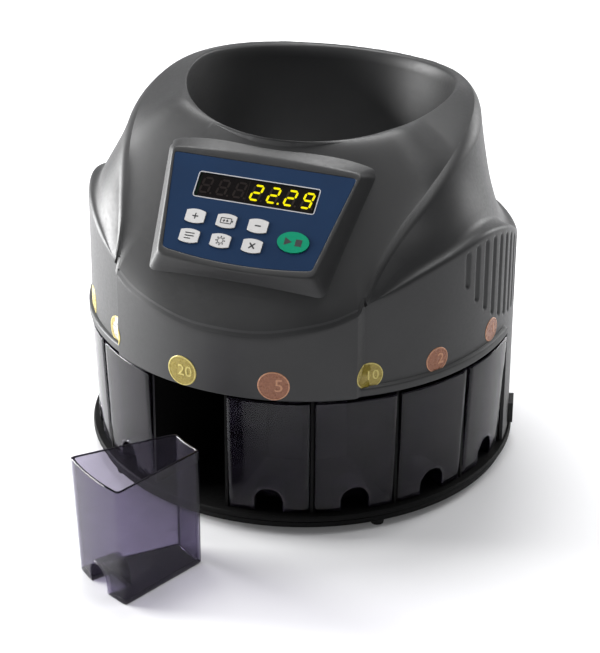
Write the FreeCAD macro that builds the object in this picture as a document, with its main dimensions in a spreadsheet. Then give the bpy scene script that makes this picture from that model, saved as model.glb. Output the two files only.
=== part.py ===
import FreeCAD, Part
import math
import os

import Sketcher
from FreeCAD import Placement, Rotation, Vector

# Coin sorting machine: a hopper-topped hood over eight sliding coin drawers arranged as a fan round
# the front, with a rotating feed disc, a sorting rail and a belt drive inside.
# Row frame: Z up, Z = 0 on the table, the machine's vertical axis at X = Y = 0, front towards -Y.
# An angle "round" the machine is counted from the front, positive towards +X.

doc = FreeCAD.newDocument("CoinSorter")
sheet = doc.addObject("Spreadsheet::Sheet", "Dims")

DRIVING = {
    # casing
    "hood_radius": 155.0,
    "hood_wall": 2.5,
    "bulge_radius": 159.7,
    "bulge_half_angle": 34.4,
    "lip_height": 108.0,
    "lip_radius": 157.7,
    "lip_depth": 6.6,
    "rim_radius": 97.2,
    "rim_offset": 35.2,
    "throat_radius": 62.0,
    "throat_height": 136.0,
    # base
    "base_radius": 157.5,
    "foot_height": 4.8,
    "foot_radius": 5.5,
    "foot_circle": 148.0,
    "floor_height": 14.8,
    # drawers
    "pitch_angle": 23.0,
    "drawer_front": 156.0,
    "drawer_back": 79.0,
    "drawer_height": 89.0,
    "drawer_wall": 2.0,
    "drawer_gap": 1.5,
    "drawer_draft": 4.0,
    "drawer_lift": 0.3,
    "arch_radius": 10.0,
    "arch_depth": 16.0,
    # inner frame and sorting deck
    "drum_radius": 77.5,
    "divider_thickness": 2.0,
    "deck_height": 106.0,
    "deck_thickness": 3.0,
    "deck_radius": 151.5,
    "rail_height": 109.0,
    # rotating parts
    "shaft_radius": 4.0,
    "running_gap": 0.05,
    "disc_radius": 97.0,
    "disc_height": 113.0,
    "bearing_radius": 11.0,
    "bearing_width": 7.0,
    "pulley_height": 62.0,
    "disc_pulley_radius": 34.0,
    "motor_pulley_radius": 10.0,
    "pulley_distance": 48.0,
    # console
    "label_tilt": 41.65,
    "key_travel": 0.5,
}
for row, (alias, value) in enumerate(DRIVING.items(), start=1):
    sheet.set(f"A{row}", alias)
    sheet.set(f"B{row}", str(value))
    sheet.setAlias(f"B{row}", alias)
doc.recompute()

D = {alias: float(sheet.get(alias)) for alias in DRIVING}
FRONT_ANGLES = [D["pitch_angle"] * (k - 3.5) for k in range(8)]
LOOSE_DRAWER = 3
FAN_HALF_ANGLE = 4 * D["pitch_angle"]

parts = {}


# ---------------------------------------------------------------- helpers

def around(radius, angle, z=0.0):
    """Point at a radius and an angle counted from the front."""
    a = math.radians(angle)
    return Vector(radius * math.sin(a), -radius * math.cos(a), z)


def turned(angle, base=Vector(0, 0, 0)):
    """Placement that turns a front-facing piece to an angle round the machine."""
    return Placement(base, Rotation(Vector(0, 0, 1), angle))


def value_of(expression):
    result = sheet.evalExpression(expression)
    return float(getattr(result, "Value", result))


def new_body(name):
    body = doc.addObject("PartDesign::Body", name)
    body.Label = name
    parts[name] = body
    return body


def new_sketch(body, name, role, offset="0"):
    """Empty sketch on one of the body's origin planes, lifted along the plane's normal."""
    sketch = body.newObject("Sketcher::SketchObject", name)
    origin_plane = [f for f in body.Origin.OriginFeatures if f.Role == role][0]
    sketch.AttachmentSupport = [(origin_plane, "")]
    sketch.MapMode = "FlatFace"
    sketch.setExpression("AttachmentOffset.Base.z", offset)
    return sketch


def pin_point(sketch, geometry, end, x, y):
    """Fixes one point of the sketch to two spreadsheet expressions."""
    for kind, expression in (("DistanceX", x), ("DistanceY", y)):
        wanted = value_of(expression)
        number = sketch.addConstraint(Sketcher.Constraint(kind, -1, 1, geometry, end, wanted))
        sketch.setExpression(f"Constraints[{number}]", expression)


def add_outline(sketch, corners):
    """Closed outline through corners given as expression pairs. A corner with a third entry starts an
    arc of that radius to the next corner, bulging away from the middle of the outline (or towards it
    when the radius expression starts with a minus sign)."""
    spots = [Vector(value_of(c[0]), value_of(c[1]), 0) for c in corners]
    middle = sum(spots, Vector()) / len(spots)
    start = sketch.GeometryCount
    count = len(corners)
    ends = []
    for i, corner in enumerate(corners):
        a, b = spots[i], spots[(i + 1) % count]
        if len(corner) < 3:
            sketch.addGeometry(Part.LineSegment(a, b), False)
            ends.append((1, 2))
            continue
        radius = value_of(corner[2])
        half = (b - a).Length / 2
        sagitta = abs(radius) - math.sqrt(max(radius * radius - half * half, 0.0))
        chord = (a + b) / 2
        side = Vector(-(b - a).y, (b - a).x, 0).normalize()
        if side.dot(chord - middle) < 0:
            side = -side
        if radius < 0:
            side = -side
        centre = chord + side * (sagitta - abs(radius))
        runs_left = (a - centre).cross(side).z > 0 or (side.cross(b - centre).z > 0)
        first, last = (a, b) if runs_left else (b, a)
        angles = [math.atan2(p.y - centre.y, p.x - centre.x) for p in (first, last)]
        circle = Part.Circle(centre, Vector(0, 0, 1), abs(radius))
        sketch.addGeometry(Part.ArcOfCircle(circle, *angles), False)
        ends.append((1, 2) if runs_left else (2, 1))
    for i in range(count):
        j = (i + 1) % count
        sketch.addConstraint(
            Sketcher.Constraint("Coincident", start + i, ends[i][1], start + j, ends[j][0])
        )
        pin_point(sketch, start + i, ends[i][0], corners[i][0], corners[i][1])
        if len(corners[i]) < 3:
            continue
        radius = corners[i][2].lstrip("-")
        is_half_round = abs((spots[j] - spots[i]).Length - 2 * value_of(radius)) < 1e-6
        if is_half_round:
            kind, expression, ends_at = "DistanceY", corners[i][1], (-1, 1, start + i, 3)
        else:
            kind, expression, ends_at = "Radius", radius, (start + i,)
        number = sketch.addConstraint(Sketcher.Constraint(kind, *ends_at, value_of(expression)))
        sketch.setExpression(f"Constraints[{number}]", expression)


def add_circle(sketch, x, y, radius):
    centre = Vector(value_of(x), value_of(y), 0)
    g = sketch.addGeometry(Part.Circle(centre, Vector(0, 0, 1), value_of(radius)), False)
    pin_point(sketch, g, 3, x, y)
    number = sketch.addConstraint(Sketcher.Constraint("Radius", g, value_of(radius)))
    sketch.setExpression(f"Constraints[{number}]", radius)


def pad(body, name, sketch, length, reverse=False, cut=False):
    feature = body.newObject("PartDesign::Pocket" if cut else "PartDesign::Pad", name)
    feature.Profile = sketch
    feature.setExpression("Length", length)
    feature.Reversed = reverse
    return feature


def turn(body, name, corners, cut=False):
    """Revolves an (radius, height) outline fully round the body's Z axis."""
    sketch = new_sketch(body, name + "_profile", "XZ_Plane")
    add_outline(sketch, corners)
    feature = body.newObject("PartDesign::Groove" if cut else "PartDesign::Revolution", name)
    feature.Profile = sketch
    feature.ReferenceAxis = (sketch, ["V_Axis"])
    feature.Angle = 360
    return feature


def polar(body, name, feature, angle, count):
    pattern = body.newObject("PartDesign::PolarPattern", name)
    pattern.Originals = [feature]
    pattern.Axis = (body.Origin.OriginFeatures[2], [""])
    pattern.Angle = angle
    pattern.Occurrences = count
    body.Tip = pattern
    return pattern


def turned_body(name, *profiles):
    """Body made of one or more revolved outlines."""
    body = new_body(name)
    for number, corners in enumerate(profiles, start=1):
        turn(body, f"{name}_turn{number}", corners)
    return body


def solid(name, shape, placement=None):
    """Free-form piece: a shape made with Part's own functions, then placed."""
    feature = doc.addObject("Part::Feature", name)
    feature.Label = name
    feature.Shape = shape
    if placement:
        feature.Placement = placement.multiply(shape.Placement)
    parts[name] = feature
    return feature


def block(x0, x1, y0, y1, z0, z1):
    return Part.makeBox(x1 - x0, y1 - y0, z1 - z0, Vector(x0, y0, z0))


def sector(r_in, r_out, a0, a1, z0, z1):
    """Ring sector between two angles counted from the front."""
    outer = Part.makeCylinder(r_out, z1 - z0, Vector(0, 0, z0), Vector(0, 0, 1), a1 - a0)
    inner = Part.makeCylinder(r_in, z1 - z0, Vector(0, 0, z0))
    ring = outer.cut(inner)
    ring.rotate(Vector(0, 0, 0), Vector(0, 0, 1), a0 - 90)
    return ring


def closed_curve(points):
    curve = Part.BSplineCurve()
    curve.interpolate(Points=points, PeriodicFlag=True, Parameters=list(range(len(points) + 1)))
    return Part.Wire([curve.toShape()])


def between(table, x):
    """Smooth reading of a table of (x, y) pairs sorted by x (monotone between neighbours)."""
    xs = [p[0] for p in table]
    if x <= xs[0]:
        return table[0][1]
    if x >= xs[-1]:
        return table[-1][1]
    i = max(k for k in range(len(xs) - 1) if xs[k] <= x)
    (x0, y0), (x1, y1) = table[i], table[i + 1]

    def slope(k):
        if k in (0, len(table) - 1):
            return 0.0 if k == 0 else (table[k][1] - table[k - 1][1]) / (xs[k] - xs[k - 1])
        left = (table[k][1] - table[k - 1][1]) / (xs[k] - xs[k - 1])
        right = (table[k + 1][1] - table[k][1]) / (xs[k + 1] - xs[k])
        return 0.0 if left * right <= 0 else 2 * left * right / (left + right)

    span, t = x1 - x0, (x - x0) / (x1 - x0)
    return (
        y0 * (1 + 2 * t) * (1 - t) ** 2
        + y1 * t * t * (3 - 2 * t)
        + slope(i) * span * t * (1 - t) ** 2
        - slope(i + 1) * span * t * t * (1 - t)
    )


# ---------------------------------------------------------------- hood

# Half outlines of the neck, as radius at angles round the machine, for each height.
NECK_ANGLES = [0, 36, 50, 64.5, 85, 105.5, 130, 155, 180]
NECK = {
    144: [152, 152, 152, 152, 152, 152, 152, 152, 152],
    163: [152, 152, 153, 154, 153, 150.3, 150.3, 150.3, 151],
    182: [151, 151, 153, 154, 150.3, 142.8, 141.8, 144.7, 147.5],
    196: [149, 149, 151, 153, 146, 138, 137.6, 141.8, 143.7],
    210: [147, 147, 146, 149, 140, 134, 135.3, 139.5, 141.8],
    224: [146, 145, 139, 140, 134.3, 131.1, 133.4, 138, 140.4],
    241: [143, 143, 137, 130.5, 129.2, 128.3, 131.5, 137, 139],
    262: [141, 140, 131.5, 124.5, 126.3, 126, 128.5, 134.5, 137.5],
    276: [141, 138, 129, 123, 124, 124, 127, 134, 137],
}
# Top edge of the skirt, as height along the depth of the machine.
SHOULDER = [
    (-127, 176), (-110, 185.3), (-95, 192.3), (-77, 197.5), (-60, 200.8), (-40, 203.2),
    (-22, 200.3), (0, 193.2), (15, 185.3), (27, 177.5), (40, 172), (70, 166), (155, 163),
]
# Outer edge of the hood's face round the hopper: (angle round the hopper, distance, height).
FACE_EDGE = [
    (0, 195, 154.7), (9, 194.5, 155.7), (16.5, 193, 160.4), (24, 191.3, 166.5), (27.5, 187.5, 173.6),
    (31, 177, 190), (35, 166, 204.5), (40, 156, 217.5), (48, 147.5, 231.5), (60, 134.5, 247),
    (75, 124, 258), (92, 114, 266.8), (110, 106.5, 267.2), (128, 102.5, 263.6), (150, 100.5, 259.4),
    (180, 100.2, 256.8),
]
# Height of the hopper's rim along the depth of the machine.
RIM = [
    (-62, 259.4), (-36, 262.6), (-6, 267.3), (16, 268.4), (35, 269.9), (46, 270), (55, 269.1),
    (70, 267), (85, 264), (108, 260), (133, 256.5),
]
# Hopper funnel: radius and centre offset at each height, from the throat up.
FUNNEL = [(0, 62, 0), (14, 66, 3), (40, 77, 12), (70, 86.5, 22), (100, 93, 30), (118, 95.8, 33.8)]
OVER_TOP = 300.0
FACE_DOME = 20.0


def neck_solid(inset):
    """The hood's waisted body, as a skin through its horizontal outlines."""
    wires = []
    for z, radii in NECK.items():
        table = list(zip(NECK_ANGLES, radii))
        points = [around(between(table, abs(a)) - inset, a, z) for a in range(-180, 180, 10)]
        wires.append(closed_curve(points))
    return Part.makeLoft(wires, True, False)


def skirt_solid(inset):
    """Round skirt with its arched top edge, open to the rear of the fan."""
    radius = D["hood_radius"] - inset
    low = D["floor_height"] - (10 if inset else 0)
    drum = Part.makeCylinder(radius, 210 - low, Vector(0, 0, low))
    edge = Part.BSplineCurve()
    edge.interpolate([Vector(-200, -170, 150 - inset)] + [Vector(-200, y, z - inset) for y, z in SHOULDER]
                     + [Vector(-200, 200, 161 - inset)])
    ends = [Vector(-200, 200, 161 - inset), Vector(-200, 200, 230), Vector(-200, -170, 230),
            Vector(-200, -170, 150 - inset)]
    frame = [edge.toShape()] + [Part.makeLine(ends[i], ends[i + 1]) for i in range(3)]
    above = Part.Face(Part.Wire(Part.__sortEdges__(frame))).extrude(Vector(400, 0, 0))
    return drum.cut(above)


def face_height(x, y):
    """Height of the hood's face: it runs from the hopper's rim down to the face's outer edge, slightly
    domed between them, and carries on a little past both."""
    across, along = x, y - D["rim_offset"]
    angle = abs(math.degrees(math.atan2(across, -along)))
    distance = math.hypot(across, along)
    reach = between([(p[0], p[1]) for p in FACE_EDGE], angle)
    low = between([(p[0], p[2]) for p in FACE_EDGE], angle)
    high = between(RIM, D["rim_offset"] - D["rim_radius"] * math.cos(math.radians(angle)))
    span = max(reach - D["rim_radius"], 8.0)
    share = min(max((distance - D["rim_radius"]) / span, -0.1), 1.0 + 14.0 / span)
    dome = FACE_DOME * share * (1 - share) * min(1.0, span / 60) if 0 < share < 1 else 0.0
    return high + (low - high) * share + dome


def above_face(drop):
    """Everything above the hood's face."""
    step, half = 20.0, 180.0
    count = int(2 * half / step) + 1
    grid = []
    for i in range(count):
        x = i * step - half
        grid.append([Vector(x, y, face_height(x, y) - drop)
                     for y in (j * step - half for j in range(count))])
    surface = Part.BSplineSurface()
    surface.interpolate(grid)
    return surface.toShape().extrude(Vector(0, 0, 170))


def funnel_solid(grow):
    """Space inside the hopper: a skin through circles that widen and lean back."""
    wires = []
    base = D["throat_height"] - grow
    for rise, radius, offset in FUNNEL:
        ring = Part.makeCircle(radius + grow, Vector(0, offset, base + rise))
        wires.append(Part.Wire([ring]))
    for z in (D["throat_height"] + 132, OVER_TOP):
        wires.append(Part.Wire([Part.makeCircle(D["rim_radius"] + grow, Vector(0, D["rim_offset"], z))]))
    return Part.makeLoft(wires, True, False)


# Control console: local X to the right, Y up the slope, Z out of the label.
CONSOLE = Placement(
    Vector(0, -76.4, 246.2), Rotation(Vector(1, 0, 0), D["label_tilt"])
)
CONSOLE_TOP = [(-56.9, -77.5), (56.9, -77.5), (69.8, 3.2), (-69.8, 3.2)]
CONSOLE_FOOT = [(-63.5, -85.5), (63.5, -85.5), (77.3, 10.6), (-77.3, 10.6)]
CONSOLE_PROUD = 11.2


def console_solid(inset, z_top, depth):
    """Raised console block with sloping sides, sunk into the hood's face."""
    wires = []
    for level in (z_top, -depth):
        share = -level / CONSOLE_PROUD
        corners = []
        for (x0, y0), (x1, y1) in zip(CONSOLE_TOP, CONSOLE_FOOT):
            x, y = x0 + (x1 - x0) * share, y0 + (y1 - y0) * share
            corners.append(Vector(x - math.copysign(inset, x), y + (inset if y < -40 else -inset), level))
        wires.append(Part.makePolygon(corners + [corners[0]]))
    shape = Part.makeLoft(wires, True, True)
    shape.Placement = CONSOLE
    return shape


def label_outline(inset, level):
    """Label shape: straight top and sides, slightly bowed lower edge."""
    top, low, bow = -1.0, -72.3, -76.7
    a, b = Vector(-66.9 + inset, top - inset, level), Vector(66.9 - inset, top - inset, level)
    c, e = Vector(54.2 - inset, low + inset, level), Vector(-54.2 + inset, low + inset, level)
    edges = [
        Part.makeLine(a, b),
        Part.makeLine(b, c),
        Part.Arc(c, Vector(0, bow + inset, level), e).toShape(),
        Part.makeLine(e, a),
    ]
    return Part.Face(Part.Wire(edges))


def grip_grooves():
    """Upright finger grooves in both flanks; their lower ends follow an arc."""
    cutters = []
    for side in (-1, 1):
        for k in range(17):
            angle = 67.2 + 4.1 * k
            along = D["hood_radius"] * math.radians(angle - 100)
            low = 225.2 - math.sqrt(105.2 ** 2 - along ** 2)
            y = -D["hood_radius"] * math.cos(math.radians(angle))
            top = between(SHOULDER, y) - 5.0
            if top - low < 8:
                continue
            place = around(D["hood_radius"] + 0.9, side * angle, low)
            groove = Part.makeCylinder(2.4, top - low, place)
            cutters.append(groove)
    return Part.makeCompound(cutters)


def hood_outside():
    body = skirt_solid(0).fuse(neck_solid(0))
    half = D["bulge_half_angle"]
    body = body.fuse(sector(100, D["bulge_radius"], -half, half, D["lip_height"] - 0.4, 205))
    body = body.fuse(sector(150, D["lip_radius"], -90, 90, D["lip_height"], D["lip_height"] + D["lip_depth"]))
    body = body.cut(above_face(0))
    return body.fuse(console_solid(0, 0, 30))


def hood_inside():
    wall = D["hood_wall"]
    body = skirt_solid(wall).fuse(neck_solid(wall + 0.3))
    half = D["bulge_half_angle"] - 1.0
    body = body.fuse(sector(100, D["bulge_radius"] - wall, -half, half, D["lip_height"] - 5, 202))
    body = body.cut(above_face(wall * 1.5))
    body = body.fuse(console_solid(3.0, -wall - 1.0, 30))
    return body.cut(funnel_solid(wall))


def build_hood():
    body = hood_outside().cut(hood_inside())
    body = body.cut(funnel_solid(0))
    throat = Part.makeCylinder(D["throat_radius"], 20, Vector(0, 0, D["throat_height"] - 12))
    body = body.cut(throat)
    gap = math.degrees(0.4 / D["hood_radius"]) + FAN_HALF_ANGLE + 0.6
    body = body.cut(sector(60, 170, -gap, gap, 0, D["lip_height"] - 0.4))
    body = body.cut(grip_grooves())
    recess = label_outline(-0.2, -1.0).extrude(Vector(0, 0, 3))
    windows = block(-47, 47, -34.5, -9.5, -8, 1).fuse(block(-49, 51, -69.5, -38.5, -8, 1))
    for cutter in (recess, windows):
        cutter.Placement = CONSOLE
        body = body.cut(cutter)
    body = body.cut(block(-46, 46, 120, 170, 24, 58))
    port = block(-8.5, 8.5, -160, -140, 16.8, 33.5)
    port.rotate(Vector(0, 0, 0), Vector(0, 0, 1), 104.5)
    body = body.cut(port)
    return max(body.Solids, key=lambda s: s.Volume)


solid("hood", build_hood())


# ---------------------------------------------------------------- base, dividers and deck

turned_body(
    "base_plate",
    [
        ("0", "Dims.floor_height - 3"),
        ("140", "Dims.floor_height - 3"),
        ("140", "Dims.foot_height"),
        ("Dims.base_radius - 3.3", "Dims.foot_height"),
        ("Dims.base_radius - 2.3", "Dims.foot_height + 4.4"),
        ("Dims.base_radius - 3.9", "Dims.foot_height + 4.9"),
        ("Dims.base_radius - 3.9", "Dims.foot_height + 5.9"),
        ("Dims.base_radius", "Dims.foot_height + 6.4"),
        ("Dims.base_radius", "Dims.floor_height - 1"),
        ("Dims.base_radius - 1", "Dims.floor_height"),
        ("0", "Dims.floor_height"),
    ],
)

feet = []
for angle in (-138.5, -41.5, 41.5, 138.5):
    foot = Part.makeCone(
        D["foot_radius"] - 1, D["foot_radius"], D["foot_height"], around(D["foot_circle"], angle)
    )
    feet.append(foot)
# A middle foot keeps the thin floor from sagging under the disc shaft and the motor.
feet.append(Part.makeCone(D["foot_radius"] + 1, D["foot_radius"] + 2, D["floor_height"] - 3))
solid("rubber_feet", Part.makeCompound(feet))

frame_body = new_body("drawer_frame")
turn(
    frame_body,
    "drum_wall",
    [
        ("Dims.drum_radius - 2.5", "Dims.floor_height"),
        ("Dims.drum_radius", "Dims.floor_height"),
        ("Dims.drum_radius", "Dims.deck_height"),
        ("Dims.drum_radius - 2.5", "Dims.deck_height"),
    ],
)
fin_sketch = new_sketch(frame_body, "fin_profile", "XY_Plane", "Dims.floor_height")
fin_y0, fin_y1 = "-(Dims.hood_radius - 3)", "-(Dims.drum_radius - 1)"
half_fin = "Dims.divider_thickness / 2"
add_outline(
    fin_sketch,
    [("-" + half_fin, fin_y0), (half_fin, fin_y0), (half_fin, fin_y1), ("-" + half_fin, fin_y1)],
)
fin_sketch.setExpression("AttachmentOffset.Rotation.Angle", "-4 * Dims.pitch_angle")
first_fin = pad(frame_body, "fin", fin_sketch, "Dims.deck_height - Dims.floor_height")
polar(frame_body, "fin_fan", first_fin, 8 * D["pitch_angle"], 9)

deck = new_body("sort_deck")
turn(
    deck,
    "deck_plate",
    [
        ("17", "Dims.deck_height"),
        ("Dims.deck_radius", "Dims.deck_height"),
        ("Dims.deck_radius", "Dims.deck_height + Dims.deck_thickness"),
        ("17", "Dims.deck_height + Dims.deck_thickness"),
    ],
)
slot_sketch = new_sketch(deck, "slot_profile", "XY_Plane", "Dims.deck_height - 1")
add_outline(slot_sketch, [("-15", "-146"), ("15", "-146"), ("15", "-112"), ("-15", "-112")])
slot_sketch.setExpression("AttachmentOffset.Rotation.Angle", "-3.5 * Dims.pitch_angle")
slot = pad(deck, "drop_slot", slot_sketch, "Dims.deck_thickness + 2", reverse=True, cut=True)
polar(deck, "drop_slot_fan", slot, 7 * D["pitch_angle"], 8)


def build_rail():
    """Sorting rail: a flat ring with eight apertures that grow by coin size, and a raised outer wall."""
    low = D["rail_height"]
    ring = Part.makeCylinder(151.0, 2.5, Vector(0, 0, low)).cut(
        Part.makeCylinder(101.0, 2.5, Vector(0, 0, low))
    )
    wall = Part.makeCylinder(151.0, 10, Vector(0, 0, low)).cut(
        Part.makeCylinder(149.2, 10, Vector(0, 0, low))
    )
    ring = ring.fuse(wall)
    widths = [26.3, 24.8, 23.8, 22.8, 21.8, 20.3, 19.3, 16.8]
    for angle, width in zip(FRONT_ANGLES, widths):
        hole = block(-13, 13, -148, -148 + width, low - 1, low + 3)
        hole.rotate(Vector(0, 0, 0), Vector(0, 0, 1), angle)
        ring = ring.cut(hole)
    return ring


solid("sorting_rail", build_rail())


# ---------------------------------------------------------------- drawers

def drawer_corners(front, back, gap):
    """Plan of a drawer: arcs in front and behind, sides parallel to the dividers."""
    def corner(radius, side):
        along = f"sqrt(({radius})^2 - ({gap})^2)"
        half = "Dims.pitch_angle / 2 * 1deg"
        x = f"{side} * ({along} * sin({half}) - ({gap}) * cos({half}))"
        y = f"-({along} * cos({half}) + ({gap}) * sin({half}))"
        return x, y
    return [
        (*corner(front, -1), front),
        corner(front, 1),
        (*corner(back, 1), "-(" + back + ")"),
        corner(back, -1),
    ]


def drawer(name, placement):
    body = new_body(name)
    wall = "Dims.drawer_wall"
    sections = {}
    for part, inset, low in (("outer", "0", "0"), ("inner", wall, wall)):
        front_top = f"Dims.drawer_front - {inset}"
        front_low = f"Dims.drawer_front - Dims.drawer_draft - {inset}"
        back = f"Dims.drawer_back + {inset}"
        gap = f"Dims.drawer_gap + {inset}"
        for level, front, z in (("low", front_low, low), ("top", front_top, "Dims.drawer_height")):
            sketch = new_sketch(body, f"{name}_{part}_{level}", "XY_Plane", z)
            add_outline(sketch, drawer_corners(front, back, gap))
            sections[part, level] = sketch
    shell = body.newObject("PartDesign::AdditiveLoft", name + "_shell")
    shell.Profile = sections["outer", "low"]
    shell.Sections = [sections["outer", "top"]]
    shell.Ruled = True
    doc.recompute()
    hollow = body.newObject("PartDesign::SubtractiveLoft", name + "_hollow")
    hollow.Profile = sections["inner", "low"]
    hollow.Sections = [sections["inner", "top"]]
    hollow.Ruled = True
    doc.recompute()
    rear = "-(Dims.drawer_front - Dims.drawer_draft - Dims.arch_depth - Dims.drawer_wall)"
    for step, radius, start, cut in (
        ("grip_hood", "Dims.arch_radius + Dims.drawer_wall", rear, False),
        ("grip_arch", "Dims.arch_radius", rear + " - Dims.drawer_wall", True),
    ):
        sketch = new_sketch(body, f"{name}_{step}_profile", "XZ_Plane", f"-({start})")
        low, leg = "0", "9"
        add_outline(
            sketch,
            [
                ("-(" + radius + ")", low),
                (radius, low),
                (radius, leg, radius),
                ("-(" + radius + ")", leg),
            ],
        )
        length = "Dims.arch_depth" if not cut else "Dims.arch_depth + 6"
        pad(body, f"{name}_{step}", sketch, length, reverse=cut, cut=cut)
    body.Placement = placement
    return body


for number, angle in enumerate(FRONT_ANGLES, start=1):
    lift = Vector(0, 0, D["floor_height"] + D["drawer_lift"])
    place = turned(angle, lift)
    if number - 1 == LOOSE_DRAWER:
        place = turned(-33.0, Vector(33.1, -130.8, 0.0))
    drawer(f"drawer_{number}", place)


# ---------------------------------------------------------------- feed disc and its drive

turned_body(
    "disc_shaft",
    [
        ("0", "Dims.pulley_height - 4"),
        ("Dims.shaft_radius", "Dims.pulley_height - 4"),
        ("Dims.shaft_radius", "Dims.disc_height + 4"),
        ("0", "Dims.disc_height + 4"),
    ],
)

feed_disc = new_body("feed_disc")
turn(
    feed_disc,
    "disc_plate",
    [
        ("Dims.shaft_radius", "Dims.disc_height"),
        ("Dims.disc_radius", "Dims.disc_height"),
        ("Dims.disc_radius", "Dims.disc_height + 2"),
        ("30", "Dims.disc_height + 3"),
        ("18", "Dims.disc_height + 8"),
        ("12", "Dims.disc_height + 8"),
        ("12", "Dims.disc_height + 4"),
        ("Dims.shaft_radius", "Dims.disc_height + 4"),
    ],
)
rib_sketch = new_sketch(feed_disc, "rib_profile", "XY_Plane", "Dims.disc_height + 1.5")
add_outline(rib_sketch, [("-1.2", "-92"), ("1.2", "-92"), ("1.2", "-26"), ("-1.2", "-26")])
rib = pad(feed_disc, "rib", rib_sketch, "3")
polar(feed_disc, "ribs", rib, 360, 12)

turned_body(
    "disc_hub",
    [
        ("Dims.shaft_radius", "Dims.disc_height - 5"),
        ("12", "Dims.disc_height - 5"),
        ("12", "Dims.disc_height - 2"),
        ("20", "Dims.disc_height - 2"),
        ("20", "Dims.disc_height"),
        ("Dims.shaft_radius", "Dims.disc_height"),
    ],
)
turned_body(
    "disc_nut",
    [
        ("0", "Dims.disc_height + 4"),
        ("9", "Dims.disc_height + 4"),
        ("9", "Dims.disc_height + 7"),
        ("6", "Dims.disc_height + 11"),
        ("0", "Dims.disc_height + 11"),
    ],
)

fingers = new_body("coin_fingers")
turn(
    fingers,
    "finger_ring",
    [
        ("Dims.disc_radius", "Dims.disc_height - 0.5"),
        ("Dims.disc_radius + 6", "Dims.disc_height - 0.5"),
        ("Dims.disc_radius + 6", "Dims.disc_height + 2"),
        ("Dims.disc_radius", "Dims.disc_height + 2"),
    ],
)
finger_sketch = new_sketch(fingers, "finger_profile", "XY_Plane", "Dims.disc_height")
add_outline(finger_sketch, [("-2", "-144"), ("2", "-144"), ("3", "-101"), ("-3", "-101")])
finger = pad(fingers, "finger", finger_sketch, "2")
polar(fingers, "finger_fan", finger, 360, 16)

for name, low in (("lower_bearing", "80"), ("upper_bearing", "96")):
    turned_body(
        name,
        [
            ("Dims.shaft_radius + Dims.running_gap", low),
            ("Dims.bearing_radius", low),
            ("Dims.bearing_radius", low + " + Dims.bearing_width"),
            ("Dims.shaft_radius + Dims.running_gap", low + " + Dims.bearing_width"),
        ],
    )
turned_body(
    "bearing_housing",
    [
        ("Dims.bearing_radius", "78"),
        ("Dims.bearing_radius + 4", "78"),
        ("Dims.bearing_radius + 4", "Dims.deck_height - 3"),
        ("26", "Dims.deck_height - 3"),
        ("26", "Dims.deck_height"),
        ("Dims.bearing_radius", "Dims.deck_height"),
    ],
)


def pulley_profile(bore, groove, flange, low):
    return [
        (bore, low),
        (flange, low),
        (flange, low + " + 1.5"),
        (groove, low + " + 2"),
        (groove, low + " + 9"),
        (flange, low + " + 9.5"),
        (flange, low + " + 11"),
        (bore, low + " + 11"),
    ]


turned_body(
    "disc_pulley",
    pulley_profile("Dims.shaft_radius", "Dims.disc_pulley_radius", "Dims.disc_pulley_radius + 1.6",
                   "Dims.pulley_height"),
)
MOTOR_PLACE = Placement(Vector(0, D["pulley_distance"], 0), Rotation())
motor_pulley = turned_body(
    "motor_pulley",
    pulley_profile("2.5", "Dims.motor_pulley_radius", "Dims.motor_pulley_radius + 1.6",
                   "Dims.pulley_height"),
)
motor_pulley.Placement = MOTOR_PLACE
motor_shaft = turned_body(
    "motor_shaft", [("0", "24"), ("2.5", "24"), ("2.5", "Dims.pulley_height + 12"),
                    ("0", "Dims.pulley_height + 12")]
)
motor_shaft.Placement = MOTOR_PLACE
motor = turned_body(
    "drive_motor",
    [
        ("0", "17"),
        ("17", "17"),
        ("18", "18"),
        ("18", "55"),
        ("7", "55"),
        ("7", "58.4"),
        ("2.5 + Dims.running_gap", "58.4"),
        ("2.5 + Dims.running_gap", "23.9"),
        ("0", "23.9"),
    ],
)
motor.Placement = MOTOR_PLACE


def build_motor_bracket():
    """Bridge that carries the motor from above, standing on the base floor."""
    y0, y1 = D["pulley_distance"] - 18, D["pulley_distance"] + 14
    plate = block(-22, 22, y0, y1, 55, 58)
    left = block(-22, -19.5, y0, y1, D["floor_height"], 55)
    right = block(19.5, 22, y0, y1, D["floor_height"], 55)
    hole = Part.makeCylinder(7.0, 10, Vector(0, D["pulley_distance"], 50))
    return plate.fuse([left, right]).cut(hole)


solid("motor_bracket", build_motor_bracket())


def belt_face(big, small, distance):
    """Outline of a belt round two pulleys on the Y axis."""
    tilt = math.asin((big - small) / distance)
    c, s = math.cos(tilt), math.sin(tilt)
    a, b = Vector(-big * c, big * s, 0), Vector(big * c, big * s, 0)
    e, f = Vector(small * c, distance + small * s, 0), Vector(-small * c, distance + small * s, 0)
    edges = [
        Part.Arc(a, Vector(0, -big, 0), b).toShape(),
        Part.makeLine(b, e),
        Part.Arc(e, Vector(0, distance + small, 0), f).toShape(),
        Part.makeLine(f, a),
    ]
    return Part.Face(Part.Wire(edges))


belt_gap, belt_thick = 0.05, 1.2
big_in = D["disc_pulley_radius"] + belt_gap
small_in = D["motor_pulley_radius"] + belt_gap
outer_belt = belt_face(big_in + belt_thick, small_in + belt_thick, D["pulley_distance"])
inner_belt = belt_face(big_in, small_in, D["pulley_distance"])
belt = outer_belt.cut(inner_belt).extrude(Vector(0, 0, 6))
belt.translate(Vector(0, 0, D["pulley_height"] + 2.5))
solid("drive_belt", belt)


def build_coin_sensor():
    """Bridge over the coin track that counts coins."""
    post = block(-12, 12, -148.5, -146, D["rail_height"] + 2.5, 119)
    arm = block(-12, 12, -148.5, -116, 119, 126)
    return post.fuse(arm)


solid("coin_sensor", build_coin_sensor(), turned(150))


# ---------------------------------------------------------------- power and control electronics

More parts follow.
